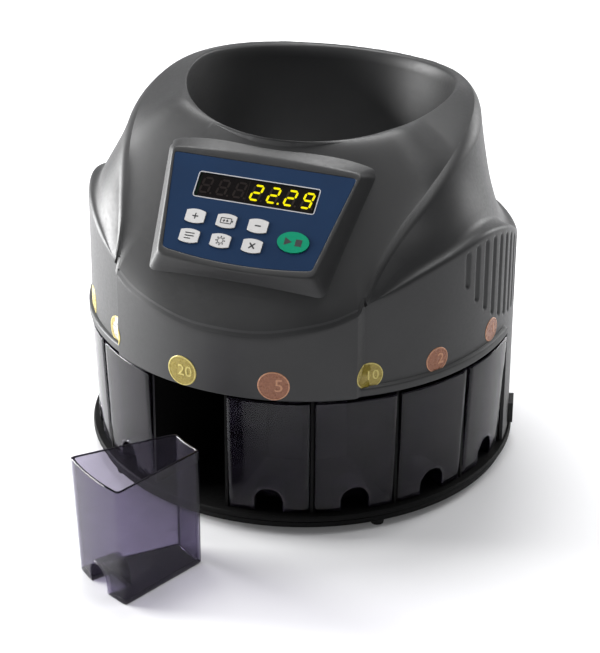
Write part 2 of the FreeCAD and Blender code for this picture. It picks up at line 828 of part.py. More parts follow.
FLOOR = D["floor_height"]
core = block(-24, 24, 92, 126, FLOOR, FLOOR + 40)
solid("mains_transformer", core.fuse(block(-17, 17, 86, 132, FLOOR + 8, FLOOR + 32)))


def board(name, angle, width, depth, thickness=1.6):
    """Circuit board standing on posts on the base floor, centred between drum and casing."""
    plate = block(-width / 2, width / 2, -115 - depth / 2, -115 + depth / 2, FLOOR + 8, FLOOR + 8 + thickness)
    return solid(name, plate, turned(angle))


def board_posts(name, angles, width, depth):
    posts = []
    for angle in angles:
        for sx in (-1, 1):
            for sy in (-1, 1):
                post = Part.makeCylinder(
                    3.0, 8, Vector(sx * (width / 2 - 5), -115 + sy * (depth / 2 - 5), FLOOR)
                )
                post.Placement = turned(angle).multiply(post.Placement)
                posts.append(post)
    return solid(name, Part.makeCompound(posts))


board("main_board", 225, 70, 50)
board("power_board", 135, 62, 46)
board_posts("board_posts", (225,), 70, 50)
board_posts("power_board_posts", (135,), 62, 46)


def board_parts(layout, angle):
    chips = []
    for x, y, w, d, rise in layout:
        chip = block(x, x + w, -115 + y, -115 + y + d, FLOOR + 9.6, FLOOR + 9.6 + rise)
        chip.Placement = turned(angle).multiply(chip.Placement)
        chips.append(chip)
    return Part.makeCompound(chips)


MAIN_CHIPS = [(-28, -18, 14, 14, 2), (-6, -18, 20, 8, 3), (20, -20, 8, 30, 8), (-28, 6, 30, 10, 6)]
POWER_CHIPS = [(-24, -16, 12, 12, 16), (-8, -16, 10, 10, 14), (8, -18, 14, 30, 12), (-22, 6, 24, 8, 10)]
solid("main_board_parts", board_parts(MAIN_CHIPS, 225))
solid("power_board_parts", board_parts(POWER_CHIPS, 135))


def build_rear_panel():
    """Flat socket panel behind the window in the hood's rear wall."""
    plate = block(-52, 52, 139.5, 142, FLOOR, 62)
    for hole in (block(-39, -11, 135, 145, 31, 51), block(3.3, 22.7, 135, 145, 34, 48)):
        plate = plate.cut(hole)
    return plate.cut(Part.makeCylinder(6, 10, Vector(35, 136, 41), Vector(0, 1, 0)))


solid("rear_panel", build_rear_panel())
inlet = block(-38.9, -11.1, 134, 142, 31.1, 50.9).fuse(block(-41, -9, 142, 144, 29, 53))
solid("mains_inlet", inlet.cut(block(-36.5, -13.5, 136.5, 145, 33.5, 48.5)))
frame_box = block(3.4, 22.6, 134, 142, 34.1, 47.9).fuse(block(1.5, 24.5, 142, 143.5, 32, 50))
solid("switch_housing", frame_box.cut(block(5, 21, 135.5, 145, 35.5, 46.5)))
fuse = Part.makeCylinder(5.9, 8, Vector(35, 134, 41), Vector(0, 1, 0))
solid("fuse_holder", fuse.fuse(Part.makeCylinder(7.5, 3, Vector(35, 142, 41), Vector(0, 1, 0))))


def build_rocker():
    """Rocker of the mains switch; its axis runs left to right through the housing."""
    profile = [
        Vector(5.4, 143.0, 36.2), Vector(5.4, 145.6, 36.6), Vector(5.4, 144.0, 41.0),
        Vector(5.4, 144.8, 45.6), Vector(5.4, 142.4, 45.8), Vector(5.4, 139.0, 41.0),
    ]
    cap = Part.Face(Part.makePolygon(profile + [profile[0]])).extrude(Vector(15.2, 0, 0))
    return cap.fuse(Part.makeCylinder(1.5, 15.8, Vector(5.1, 141, 41), Vector(1, 0, 0)))


solid("power_rocker", build_rocker())
port_body = block(-8.2, 8.2, -158.5, -150, 17.1, 33.2).cut(block(-5.5, 5.5, -160, -154, 20, 30))
solid("side_port", port_body, turned(104.5))


# ---------------------------------------------------------------- console

def console_piece(name, shape):
    return solid(name, shape, CONSOLE)


KEY_ROWS = {"plus": (-37.6, -46.6), "battery": (-14.7, -46.6), "minus": (8.4, -46.6),
            "report": (-37.6, -61.6), "set": (-14.7, -61.6), "clear": (8.4, -61.6)}
START_KEY = (36.1, -54.3)
KEY_PROUD = 0.6
KEY_GAP = 0.25


def key_face(grow):
    """Barrel-shaped key: straight sides, bowed top and bottom."""
    w, side, bow = 7.05 + grow, 3.8 + grow, 5.2 + grow
    edges = [
        Part.makeLine(Vector(w, -side, 0), Vector(w, side, 0)),
        Part.Arc(Vector(w, side, 0), Vector(0, bow, 0), Vector(-w, side, 0)).toShape(),
        Part.makeLine(Vector(-w, side, 0), Vector(-w, -side, 0)),
        Part.Arc(Vector(-w, -side, 0), Vector(0, -bow, 0), Vector(w, -side, 0)).toShape(),
    ]
    return Part.Face(Part.Wire(edges))


def oval_face(grow):
    ellipse = Part.Ellipse(Vector(0, 0, 0), 11.4 + grow, 7.7 + grow)
    return Part.Face(Part.Wire([ellipse.toShape()]))


def key_shape(face, centre):
    """Cap that stands a little proud of the label, on a wider flange below it."""
    cap = face(0).extrude(Vector(0, 0, KEY_PROUD + 2.6))
    cap.translate(Vector(0, 0, -2.6))
    flange = face(0.8).extrude(Vector(0, 0, 0.8))
    flange.translate(Vector(0, 0, -3.4))
    shape = cap.fuse(flange)
    shape.translate(Vector(centre[0], centre[1], 0))
    return shape


label = label_outline(0, -1.0).extrude(Vector(0, 0, 0.8))
label = label.cut(block(-44, 44, -31.4, -13.2, -2, 1))
for centre in list(KEY_ROWS.values()) + [START_KEY]:
    hole = (oval_face if centre == START_KEY else key_face)(KEY_GAP).extrude(Vector(0, 0, 3))
    hole.translate(Vector(centre[0], centre[1], -2))
    label = label.cut(hole)
console_piece("keypad_label", label)
for key_name, centre in KEY_ROWS.items():
    console_piece("key_" + key_name, key_shape(key_face, centre))
console_piece("key_start_stop", key_shape(oval_face, START_KEY))
console_piece("display_lens", block(-43.8, 43.8, -31.2, -13.4, -1.3, -0.4))
console_piece("display_module", block(-42, 42, -31, -13.6, -5.4, -1.3))
console_piece("keypad_board", block(-50, 50, -71, -10, -7.0, -5.4))
switches = []
for centre in list(KEY_ROWS.values()) + [START_KEY]:
    switches.append(Part.makeCylinder(2.5, 1.8 - D["key_travel"], Vector(centre[0], centre[1], -5.4)))
console_piece("key_switches", Part.makeCompound(switches))


# ---------------------------------------------------------------- coin stickers and fixings

STICKERS = [
    (-57.5, 121.5, 21.5), (-36.8, 123.2, 21.3), (-10.8, 119.8, 22.2), (13.3, 119.8, 21.6),
    (37.4, 122.8, 19.8), (57.1, 122.8, 18.8), (79.4, 123.7, 17.4), (-79.8, 122.0, 22.5),
]


def sticker(angle, height, diameter):
    on_bulge = abs(angle) < D["bulge_half_angle"]
    radius = (D["bulge_radius"] if on_bulge else D["hood_radius"]) + 0.02
    skin = Part.makeCylinder(radius + 0.4, 60, Vector(0, 0, 95)).cut(
        Part.makeCylinder(radius, 60, Vector(0, 0, 95))
    )
    punch = Part.makeCylinder(diameter / 2, 60, around(120, angle, height), around(1, angle))
    disc = skin.common(punch)
    if on_bulge:
        return disc
    reach, top = D["bulge_half_angle"] + 0.03, D["lip_height"] + D["lip_depth"]
    disc = disc.cut(sector(100, D["bulge_radius"] + 0.05, -reach, reach, 90, 160))
    return disc.cut(sector(100, D["lip_radius"] + 0.05, -90.03, 90.03, 90, top + 0.05))


solid("coin_stickers", Part.makeCompound([sticker(*s) for s in STICKERS]))


# ---------------------------------------------------------------- check and write

doc.recompute()
for item in doc.Objects:
    if "Invalid" in item.State or "Error" in item.State:
        raise RuntimeError(f"{item.Label}: {item.State}")
for name, item in parts.items():
    shape = item.Shape
    if shape.isNull() or not shape.isValid() or not shape.Solids:
        raise RuntimeError(f"{name} has no valid shape")

os.makedirs("parts", exist_ok=True)
for name, item in parts.items():
    item.Shape.exportStep(f"parts/{name}.step")
    print(f"{name:20s} {len(item.Shape.Solids)} solids {item.Shape.Volume / 1000:9.2f} cm3")
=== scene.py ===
import math

import bmesh
import bpy
import numpy as np
from mathutils import Matrix, Vector


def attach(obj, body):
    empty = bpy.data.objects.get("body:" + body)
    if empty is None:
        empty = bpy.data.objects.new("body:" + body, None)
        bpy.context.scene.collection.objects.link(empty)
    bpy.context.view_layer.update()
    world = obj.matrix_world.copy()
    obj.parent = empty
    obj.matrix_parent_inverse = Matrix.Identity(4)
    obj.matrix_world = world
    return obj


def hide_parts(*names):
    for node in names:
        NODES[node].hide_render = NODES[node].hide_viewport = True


# Looks of the coin sorting machine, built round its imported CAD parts. Lengths below are millimetres in
# the row frame (front towards -Y, Z = 0 on the table) and become metres when a mesh is made. Angles
# "round" the machine are counted from the front, positive towards +X.

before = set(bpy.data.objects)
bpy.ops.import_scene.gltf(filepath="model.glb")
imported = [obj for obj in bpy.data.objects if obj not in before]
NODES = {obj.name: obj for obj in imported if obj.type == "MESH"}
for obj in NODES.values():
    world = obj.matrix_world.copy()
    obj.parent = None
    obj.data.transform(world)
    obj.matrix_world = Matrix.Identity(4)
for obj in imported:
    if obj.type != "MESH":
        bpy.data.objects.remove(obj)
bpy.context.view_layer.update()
MM = 0.001

SKIRT = 155.0
PANEL = 159.7
PANEL_EDGE = 33.7
STRIP_EDGE = 35.9
LIP_Z = 108.0
BASE_Z = 14.8
OPENING_EDGE = 92.6
RIM_R, RIM_Y = 97.2, 35.2
THROAT_Z, THROAT_R = 136.0, 62.0
TILT = math.radians(41.65)
CONSOLE = Matrix.Translation((0, -76.4, 246.2)) @ Matrix.Rotation(TILT, 4, "X")


# ---------------------------------------------------------------- small tools

def spline(knots, values):
    """Natural cubic spline through the values at the knots, as a function of one number."""
    x = np.array(knots, float)
    y = np.array(values, float).reshape(len(x), -1)
    h = np.diff(x)
    a, b = np.eye(len(x)), np.zeros(y.shape)
    for i in range(1, len(x) - 1):
        a[i, i - 1:i + 2] = h[i - 1], 2 * (h[i - 1] + h[i]), h[i]
        b[i] = 3 * ((y[i + 1] - y[i]) / h[i] - (y[i] - y[i - 1]) / h[i - 1])
    c = np.linalg.solve(a, b)
    d = np.diff(c, axis=0) / (3 * h[:, None])
    s = np.diff(y, axis=0) / h[:, None] - h[:, None] * (2 * c[:-1] + c[1:]) / 3

    def read(t):
        t = min(max(t, x[0]), x[-1])
        i = int(np.clip(np.searchsorted(x, t) - 1, 0, len(x) - 2))
        u = t - x[i]
        found = y[i] + u * (s[i] + u * (c[i] + u * d[i]))
        return float(found[0]) if len(found) == 1 else found

    return read


def ease(t):
    t = min(max(t, 0.0), 1.0)
    return t * t * (3 - 2 * t)


def around(radius, angle, z):
    a = math.radians(angle)
    return np.array([radius * math.sin(a), -radius * math.cos(a), z])


def link(thing):
    bpy.context.scene.collection.objects.link(thing)
    return thing


def loose_solid(name, points, faces):
    """Closed mesh object from millimetre points with its faces turned outwards, riding on nothing yet."""
    mesh = bpy.data.meshes.new(name)
    mesh.from_pydata([tuple(MM * float(c) for c in p) for p in points], [], faces)
    shape = bmesh.new()
    shape.from_mesh(mesh)
    bmesh.ops.recalc_face_normals(shape, faces=shape.faces)
    shape.to_mesh(mesh)
    shape.free()
    return link(bpy.data.objects.new(name, mesh))


def new_piece(name, points, faces, finish, body, smooth=True):
    """Mesh object from millimetre points, riding on a body."""
    mesh = bpy.data.meshes.new(name)
    mesh.from_pydata([tuple(MM * float(c) for c in p) for p in points], [], faces)
    mesh.validate()
    mesh.polygons.foreach_set("use_smooth", [smooth] * len(mesh.polygons))
    piece = link(bpy.data.objects.new(name, mesh))
    piece.data.materials.append(finish)
    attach(piece, body)
    return piece


def lattice(rows, close_rows=False, close_columns=True):
    """Quads between rows of equal length; a row's points run round when columns close."""
    count, across = len(rows), len(rows[0])
    faces = []
    for i in range(count if close_rows else count - 1):
        for j in range(across if close_columns else across - 1):
            a, b = i * across + j, i * across + (j + 1) % across
            k = (i + 1) % count
            c, d = k * across + (j + 1) % across, k * across + j
            faces.append((a, b, c, d))
    return faces


def bake(piece):
    """Applies a piece's modifiers to its mesh."""
    graph = bpy.context.evaluated_depsgraph_get()
    mesh = bpy.data.meshes.new_from_object(piece.evaluated_get(graph))
    piece.modifiers.clear()
    piece.data = mesh
    return piece


def edge_shading(piece, degrees=35):
    """Sharp edges above an angle, smooth below it."""
    limit = math.radians(degrees)
    shape = bmesh.new()
    shape.from_mesh(piece.data)
    for edge in shape.edges:
        edge.smooth = not edge.is_manifold or edge.calc_face_angle(0) < limit
    for face in shape.faces:
        face.smooth = True
    shape.to_mesh(piece.data)
    shape.free()


# ---------------------------------------------------------------- materials

class Finish:
    """A node material that is being put together. Texture space is metres in the row frame."""

    def __init__(self, name):
        self.material = bpy.data.materials.new(name)
        self.material.use_nodes = True
        self.tree = self.material.node_tree
        self.shader = self.tree.nodes["Principled BSDF"]
        self.out = self.tree.nodes["Material Output"]
        self.place = self.add("ShaderNodeTexCoord").outputs["Object"]

    def add(self, kind, settings=None, **inputs):
        node = self.tree.nodes.new(kind)
        for key, value in (settings or {}).items():
            setattr(node, key, value)
        for key, value in inputs.items():
            self.put(node, key.replace("_", " "), value)
        return node

    def put(self, node, key, value):
        socket = node.inputs[key]
        if isinstance(value, bpy.types.NodeSocket):
            self.tree.links.new(value, socket)
        else:
            socket.default_value = value

    def set(self, **inputs):
        for key, value in inputs.items():
            self.put(self.shader, key.replace("_", " "), value)
        return self

    def noise(self, scale, detail=2.0, stretch=(1, 1, 1)):
        place = self.place
        if stretch != (1, 1, 1):
            place = self.add("ShaderNodeMapping", Vector=place, Scale=stretch).outputs[0]
        return self.add("ShaderNodeTexNoise", Vector=place, Scale=scale, Detail=detail).outputs[0]

    def spread(self, fac, low, high):
        """Turns a 0.3-0.7 noise into a value between low and high."""
        node = self.add("ShaderNodeMapRange", Value=fac)
        for key, value in zip(("From Min", "From Max", "To Min", "To Max"), (0.3, 0.7, low, high)):
            node.inputs[key].default_value = value
        return node.outputs[0]

    def tint(self, fac, first, second):
        node = self.add("ShaderNodeMix", {"data_type": "RGBA"})
        self.tree.links.new(fac, node.inputs[0])
        node.inputs[6].default_value = (*first, 1)
        node.inputs[7].default_value = (*second, 1)
        return node.outputs[2]

    def relief(self, height, depth_mm, strength=1.0):
        bump = self.add("ShaderNodeBump", Height=height, Distance=depth_mm * MM, Strength=strength)
        return bump.outputs[0]


def moulded(name, colour, roughness=0.45, vary=0.06, grain_mm=0.02, grain_scale=2200, edge_highlight=None,
            specular=0.5, shade=0.12):
    """Moulded plastic: fine sparked grain, faint blotches, uneven gloss and, when given, a painted highlight
    that lightens the convex edges by pointiness.
    """
    f = Finish(name)
    blotch = f.noise(28, 4)
    dust = f.noise(420, 3)
    darker = tuple(c * (1 - shade) for c in colour)
    lighter = tuple(min(1, c * (1 + shade)) for c in colour)
    base = f.tint(f.spread(blotch, 0, 1), darker, lighter)
    # Painted highlight: the colour turns lighter where the surface is sharply convex (pointiness), standing
    # in for light caught on the edges.
    if edge_highlight:
        edge_highlight_mask = f.add("ShaderNodeMapRange", Value=f.add("ShaderNodeNewGeometry").outputs["Pointiness"])
        for key, value in zip(("From Min", "From Max", "To Min", "To Max"), (0.53, 0.62, 0.0, 0.55)):
            edge_highlight_mask.inputs[key].default_value = value
        node = f.add("ShaderNodeMix", {"data_type": "RGBA"})
        f.tree.links.new(edge_highlight_mask.outputs[0], node.inputs[0])
        f.tree.links.new(base, node.inputs[6])
        node.inputs[7].default_value = (*edge_highlight, 1)
        base = node.outputs[2]
    rough = f.spread(dust, roughness - vary, roughness + vary)
    f.set(Base_Color=base, Roughness=rough, Specular_IOR_Level=specular)
    f.set(Normal=f.relief(f.noise(grain_scale, 2), grain_mm, 0.35))
    return f.material


def metal(name, colour, roughness):
    """Bare metal, brushed across its height."""
    f = Finish(name)
    streak = f.noise(120, 3, (1, 1, 60))
    f.set(
        Base_Color=f.tint(f.spread(streak, 0, 1), tuple(c * 0.82 for c in colour), colour),
        Roughness=f.spread(streak, roughness - 0.08, roughness + 0.12),
        Metallic=1.0,
        Normal=f.relief(streak, 0.01, 0.3),
    )
    return f.material


def smoky(name, absorb, density, clear_colour):
    """Clear tinted plastic: light passes straight on and is taken up inside the wall, so that an edge
    seen along the wall is darker; the surface mirrors by angle and carries fine handling scratches."""
    f = Finish(name)
    rub = f.noise(60, 1, (1, 1, 2))
    scratch = f.noise(1500, 2, (1, 1, 0.04))
    normal = f.relief(scratch, 0.001, 0.1)
    gloss = f.add("ShaderNodeBsdfGlossy", Normal=normal,
                  Roughness=f.spread(rub, 0.05, 0.22))
    clear = f.add("ShaderNodeBsdfTransparent", Color=(*clear_colour, 1))
    haze = f.add("ShaderNodeBsdfDiffuse", Color=(0.16, 0.14, 0.20, 1))
    hazed = f.add("ShaderNodeMixShader", Fac=f.spread(rub, 0.02, 0.06))
    f.tree.links.new(clear.outputs[0], hazed.inputs[1])
    f.tree.links.new(haze.outputs[0], hazed.inputs[2])
    outer = f.add("ShaderNodeMath", {"operation": "SUBTRACT"})
    outer.inputs[0].default_value = 1.0
    f.tree.links.new(f.add("ShaderNodeNewGeometry").outputs["Backfacing"], outer.inputs[1])
    mirror = f.add("ShaderNodeMath", {"operation": "MULTIPLY"})
    f.tree.links.new(f.add("ShaderNodeFresnel", IOR=1.38).outputs[0], mirror.inputs[0])
    f.tree.links.new(outer.outputs[0], mirror.inputs[1])
    surface = f.add("ShaderNodeMixShader", Fac=mirror.outputs[0])
    f.tree.links.new(hazed.outputs[0], surface.inputs[1])
    f.tree.links.new(gloss.outputs[0], surface.inputs[2])
    f.tree.links.new(surface.outputs[0], f.out.inputs["Surface"])
    volume = f.add("ShaderNodeVolumeAbsorption", Color=(*absorb, 1), Density=density)
    f.tree.links.new(volume.outputs[0], f.out.inputs["Volume"])
    f.tree.nodes.remove(f.shader)
    return f.material


def glowing(name, colour, power):
    f = Finish(name)
    grain = f.noise(900, 2)
    f.set(Base_Color=(*colour, 1), Roughness=0.4, Emission_Color=(*colour, 1),
          Emission_Strength=f.spread(grain, power * 0.92, power * 1.08))
    return f.material


def coin_print(name, colour, dark):
    """Printed picture of a coin: metallic ink, mottled where the relief is drawn."""
    f = Finish(name)
    mottle = f.noise(900, 3)
    f.set(Base_Color=f.tint(f.spread(mottle, 0, 1), dark, colour), Metallic=0.15,
          Roughness=f.spread(f.noise(300, 2), 0.22, 0.4), Coat_Weight=0.08, Coat_Roughness=0.3,
          Normal=f.relief(mottle, 0.02, 0.3))
    return f.material


# The hood and the black plastic carry a painted highlight on their convex edges: the lighter colour given
# after the grain settings.
HOOD = moulded("hood_plastic", (0.021, 0.0212, 0.0216), 0.47, 0.04, 0.012, 2400, edge_highlight=(0.06, 0.06, 0.062))
BLACK = moulded("black_plastic", (0.004, 0.004, 0.0045), 0.40, 0.08, 0.015, 1800,
                edge_highlight=(0.012, 0.012, 0.012), specular=0.35)
DIVIDER = moulded("divider_black", (0.003, 0.003, 0.003), 0.6, 0.06, 0.01, 1800, specular=0.12)
SMOKE_TINT, SMOKE_DENSITY = (0.42, 0.38, 0.52), 520.0
SMOKE = smoky("smoke_plastic", SMOKE_TINT, SMOKE_DENSITY, (0.96, 0.95, 0.97))
# Painted shade: a darker see-through tint for the drawers' rims, bottoms and back corners, standing in for
# the darkening that refraction gives along the edges.
SMOKE_PAINTED_EDGE_SHADE = smoky("smoke_painted_edge_shade", SMOKE_TINT, SMOKE_DENSITY, (0.42, 0.36, 0.50))
RUBBER = moulded("rubber", (0.012, 0.012, 0.012), 0.8, 0.1, 0.05, 1200, specular=0.3)
STEEL = metal("steel", (0.60, 0.60, 0.62), 0.28)
ALUMINIUM = metal("aluminium", (0.75, 0.75, 0.77), 0.35)
LABEL = moulded("label_blue", (0.007, 0.025, 0.068), 0.5, 0.05, 0.01, 3500, specular=0.12, shade=0.08)
KEY_GREY = moulded("key_grey", (0.56, 0.55, 0.54), 0.5, 0.06, 0.012, 2600, shade=0.05)
KEY_GREEN = moulded("key_green", (0.0, 0.25, 0.13), 0.5, 0.06, 0.012, 2600, specular=0.15, shade=0.08)
INK = moulded("key_ink", (0.02, 0.02, 0.022), 0.55, 0.05, 0.01, 2600)
BORDER = moulded("label_border", (0.42, 0.42, 0.44), 0.5, 0.05, 0.01, 2600, shade=0.05)
MODULE = moulded("display_face", (0.020, 0.016, 0.016), 0.35, 0.05, 0.01, 2600)
LIT = glowing("segment_lit", (0.95, 0.87, 0.0), 1.05)
UNLIT = moulded("segment_unlit", (0.13, 0.105, 0.095), 0.4, 0.05, 0.01, 2600)
DISC = moulded("disc_plastic", (0.06, 0.06, 0.065), 0.4, 0.08, 0.03, 900)
BOARD = moulded("circuit_board", (0.02, 0.16, 0.07), 0.35, 0.08, 0.03, 600)
CHIP = moulded("component_black", (0.02, 0.02, 0.02), 0.5, 0.08, 0.03, 1500)
BELT = moulded("belt_rubber", (0.02, 0.02, 0.02), 0.7, 0.1, 0.05, 1000, specular=0.3)
GOLD = coin_print("print_gold", (0.36, 0.28, 0.045), (0.24, 0.18, 0.025))
COPPER = coin_print("print_copper", (0.34, 0.13, 0.06), (0.22, 0.075, 0.035))
SILVER = coin_print("print_silver", (0.36, 0.36, 0.35), (0.27, 0.27, 0.265))
GOLD_RELIEF = coin_print("relief_gold", (0.66, 0.56, 0.18), (0.50, 0.41, 0.10))
COPPER_RELIEF = coin_print("relief_copper", (0.60, 0.30, 0.17), (0.46, 0.21, 0.11))
SILVER_RELIEF = coin_print("relief_silver", (0.55, 0.55, 0.54), (0.44, 0.44, 0.43))
RELIEF = {GOLD: GOLD_RELIEF, COPPER: COPPER_RELIEF, SILVER: SILVER_RELIEF}


def lens_finish():
    """Thin tinted window film over the display."""
    f = Finish("display_lens")
    clear = f.add("ShaderNodeBsdfTransparent", Color=(0.90, 0.87, 0.86, 1))
    gloss = f.add("ShaderNodeBsdfGlossy", Roughness=f.spread(f.noise(200, 3), 0.06, 0.14))
    surface = f.add("ShaderNodeMixShader", Fac=f.add("ShaderNodeFresnel", IOR=1.35).outputs[0])
    f.tree.links.new(clear.outputs[0], surface.inputs[1])
    f.tree.links.new(gloss.outputs[0], surface.inputs[2])
    f.tree.links.new(surface.outputs[0], f.out.inputs["Surface"])
    f.tree.nodes.remove(f.shader)
    return f.material


LENS = lens_finish()


# ---------------------------------------------------------------- hood surface

# Neck of the hood: radius at angles round the machine, for each height.
NECK_ANGLES = [-36, 0, 36, 50, 64.5, 85, 105.5, 130, 155, 180, 205]
NECK = {
    144: [152, 152, 152, 152, 152, 152, 152, 152, 152],
    163: [152, 152, 153, 154, 153, 150.3, 150.3, 150.3, 151],
    182: [151, 151, 153, 153, 150.3, 142.8, 141.8, 144.7, 147.5],
    196: [149, 149, 150, 150, 146, 138, 137.6, 141.8, 143.7],
    210: [147, 147, 146, 146, 140, 134, 135.3, 139.5, 141.8],
    224: [146, 145, 140, 139, 134.3, 131.1, 133.4, 138, 140.4],
    241: [143, 143, 137, 131.5, 129.2, 128.3, 131.5, 137, 139],
    262: [141, 140, 131.5, 125.5, 126.3, 126, 128.5, 134.5, 137.5],
}
NECK_RINGS = [spline(NECK_ANGLES, [r[1]] + r + [r[-2]]) for r in NECK.values()]
# Top edge of the skirt: height along the depth of the machine.
SHOULDER = spline(
    [-135, -127, -110, -95, -77, -60, -40, -22, 0, 15, 27, 40, 70, 110, 155],
    [171, 176, 185.3, 192.3, 197.5, 201, 202.6, 199.8, 192.8, 185.6, 178.5, 172.6, 166.5, 164.3, 163],
)
# Crease where the face bends down into the front panel: height at angles round the machine.
CREASE = spline([-20.1, -11, 0, 11, 20.1, 29.1, PANEL_EDGE], [160.4, 155.9, 154.7, 155.9, 160.4, 166.5, 172])
# Outer edge of the face from the panel's corner to the back: x, y, z at skirt angles.
FLANK = spline(
    [PANEL_EDGE, 38.5, 43.6, 50, 60, 74.6, 91.5, 109, 125.6, 140.6, 157.7, 180, 202.3],
    [
        (90.2, -131.8, 172), (91.6, -116.8, 190), (95.2, -100.8, 204.5), (100.3, -84.3, 217.5),
        (108.6, -63.5, 231.5), (116.5, -32.1, 247), (119.8, 3.1, 258.5), (113.9, 39.2, 265),
        (100.1, 71.6, 265.6), (80.8, 98.3, 263.2), (50.3, 122.2, 259.4), (0, 135.4, 256.8),
        (-50.3, 122.2, 259.4),
    ],
)
# Height of the hopper's rim along the depth of the machine.
RIM = spline(
    [-62, -36, -6, 16, 35, 46, 55, 70, 85, 108, 133],
    [259.4, 262.8, 266.6, 268.7, 269.8, 269.9, 269.4, 267.3, 264.6, 260.2, 256.5],
)
# Hopper: radius and centre offset at each height over the throat.
FUNNEL_R = spline([0, 14, 40, 70, 100, 118, 136], [62, 66.5, 76.5, 86.5, 93.2, 95.8, 97.2])
FUNNEL_Y = spline([0, 14, 40, 70, 100, 118, 136], [0, 3, 12, 22, 30, 33.6, 35.2])


def face_plane(x, y):
    """Bowed slope of the hood's front, through the console."""
    bow = 0.0020 - 0.000013 * (-62.0 - y)
    return 252.7 + 1.027 * (y + 66.1) - bow * x * x


def face_edge(u):
    """Outer edge of the face for the column that meets the skirt at angle u."""
    return around(PANEL, u, CREASE(u)) if u <= PANEL_EDGE else FLANK(u)


def face_row(u, count):
    """Points across the face from the hopper's rim to its outer edge."""
    edge = face_edge(u)
    across, along = edge[0], edge[1] - RIM_Y
    angle, reach = math.atan2(across, -along), math.hypot(across, along)
    top = RIM(RIM_Y - RIM_R * math.cos(angle))
    turn = math.degrees(angle)
    front = 1 - ease((turn - 46) / 20)
    points = []
    width = reach - RIM_R
    lead = 2.5 + 5 * min(turn / 40, 1.5) ** 2
    for share in (0.5 - 0.5 * math.cos(math.pi * i / (count - 1)) for i in range(count)):
        run = width * share
        x = (RIM_R + run) * math.sin(angle)
        y = RIM_Y - (RIM_R + run) * math.cos(angle)
        z = top + (edge[2] - top) * share
        hold = (1 - math.exp(-run / lead)) * (1 - math.exp(-(width - run) / 5.0))
        z += (face_plane(x, y) - z) * hold * front
        z += (1 - front) * hold * 0.8
        points.append(np.array([x, y, z]))
    return points, angle, top


def bend(a, b, c, size, count):
    """Rounded corner at b on the way from a to c."""
    first = b + (a - b) / np.linalg.norm(a - b) * min(size, np.linalg.norm(a - b) * 0.48)
    last = b + (c - b) / np.linalg.norm(c - b) * min(size, np.linalg.norm(c - b) * 0.48)
    ts = np.linspace(0, 1, count)
    return [(1 - t) ** 2 * first + 2 * t * (1 - t) * b + t * t * last for t in ts]


GROOVE_FIRST, GROOVE_PITCH, GROOVES = 67.2, 4.1, 17
GROOVE_DEEP, GROOVE_HALF = 1.5, 2.5
GROOVE_ARC_R, GROOVE_ARC_Z, GROOVE_ARC_TURN = 105.2, 225.2, 100


def groove_depth(u, z, top):
    """Depth of the finger grooves in the skirt: round-ended, their lower ends on an arc."""
    k = round((u - GROOVE_FIRST) / GROOVE_PITCH)
    if not 0 <= k < GROOVES:
        return 0.0
    along = SKIRT * math.radians(GROOVE_FIRST + GROOVE_PITCH * k - GROOVE_ARC_TURN)
    low = GROOVE_ARC_Z - math.sqrt(GROOVE_ARC_R ** 2 - along ** 2)
    high = top - 5.5
    if high - low < 8:
        return 0.0
    off = abs(SKIRT * math.radians(u - GROOVE_FIRST - GROOVE_PITCH * k))
    end = max(low + 2.4 - z, z - high + 2.4, 0.0)
    reach = math.hypot(off, end)
    return GROOVE_DEEP * ease((GROOVE_HALF - reach) / 1.1)


BEAD_END, BEAD_Z, BEAD_RISE = 88.3, 111.3, 2.5


def skirt_radius(u, z, top):
    """Outer radius of the skirt: raised panel in front, slanted strip at its sides, bead on the lip."""
    share = min(max((u - PANEL_EDGE) / (STRIP_EDGE - PANEL_EDGE), 0.0), 1.0)
    radius = PANEL - (PANEL - SKIRT) * share
    if PANEL_EDGE < u < OPENING_EDGE:
        end = math.hypot(max(SKIRT * math.radians(u - BEAD_END), 0.0), z - BEAD_Z)
        bead = BEAD_RISE * ease((3.9 - end) / 1.3) if z > BEAD_Z or u > BEAD_END else BEAD_RISE
        radius = max(radius, SKIRT + bead)
    return radius - groove_depth(u, z, top)


def neck_radius(u, z):
    return spline(list(NECK), [ring(u) for ring in NECK_RINGS])(z)


def hood_columns():
    """Skirt angles of the mesh columns on one side; closer together where the shape needs it."""
    panel = list(np.linspace(0, PANEL_EDGE - 0.35, 24)) + [PANEL_EDGE - 0.12, PANEL_EDGE]
    strip = [PANEL_EDGE + d for d in (0.25, 0.8, 1.2, 1.5)] + [STRIP_EDGE - d for d in (0.4, 0.12, 0.0)]
    plain = list(np.linspace(STRIP_EDGE + 0.4, 64.4, 24))
    step = GROOVE_PITCH / 10
    ribbed = [GROOVE_FIRST - 2.05 + step * k for k in range(int(70.4 / step))]
    back = list(np.linspace(ribbed[-1] + 1.2, 180, 34))
    angles = panel + strip + plain + ribbed + back
    for wanted in (90.0, OPENING_EDGE, 162.74):
        near = min(range(len(angles)), key=lambda i: abs(angles[i] - wanted))
        angles[near] = wanted
    return angles


FUNNEL_ROWS, FACE_ROWS, NECK_ROWS, SKIRT_ROWS = 30, 34, 26, 60
LIP_HEIGHTS = [117, 115.8, 115.2, 114.7, 114.2, 113.6, 112.5, 111.3, 110, 109, 108.5, 108.15, LIP_Z]
WALL_HEIGHTS = [104, 98, 92, 86, 80, 74, 68, 63, 58, 52, 46, 40, 33.5, 29, 24, 20, 16.8, BASE_Z + 0.3]


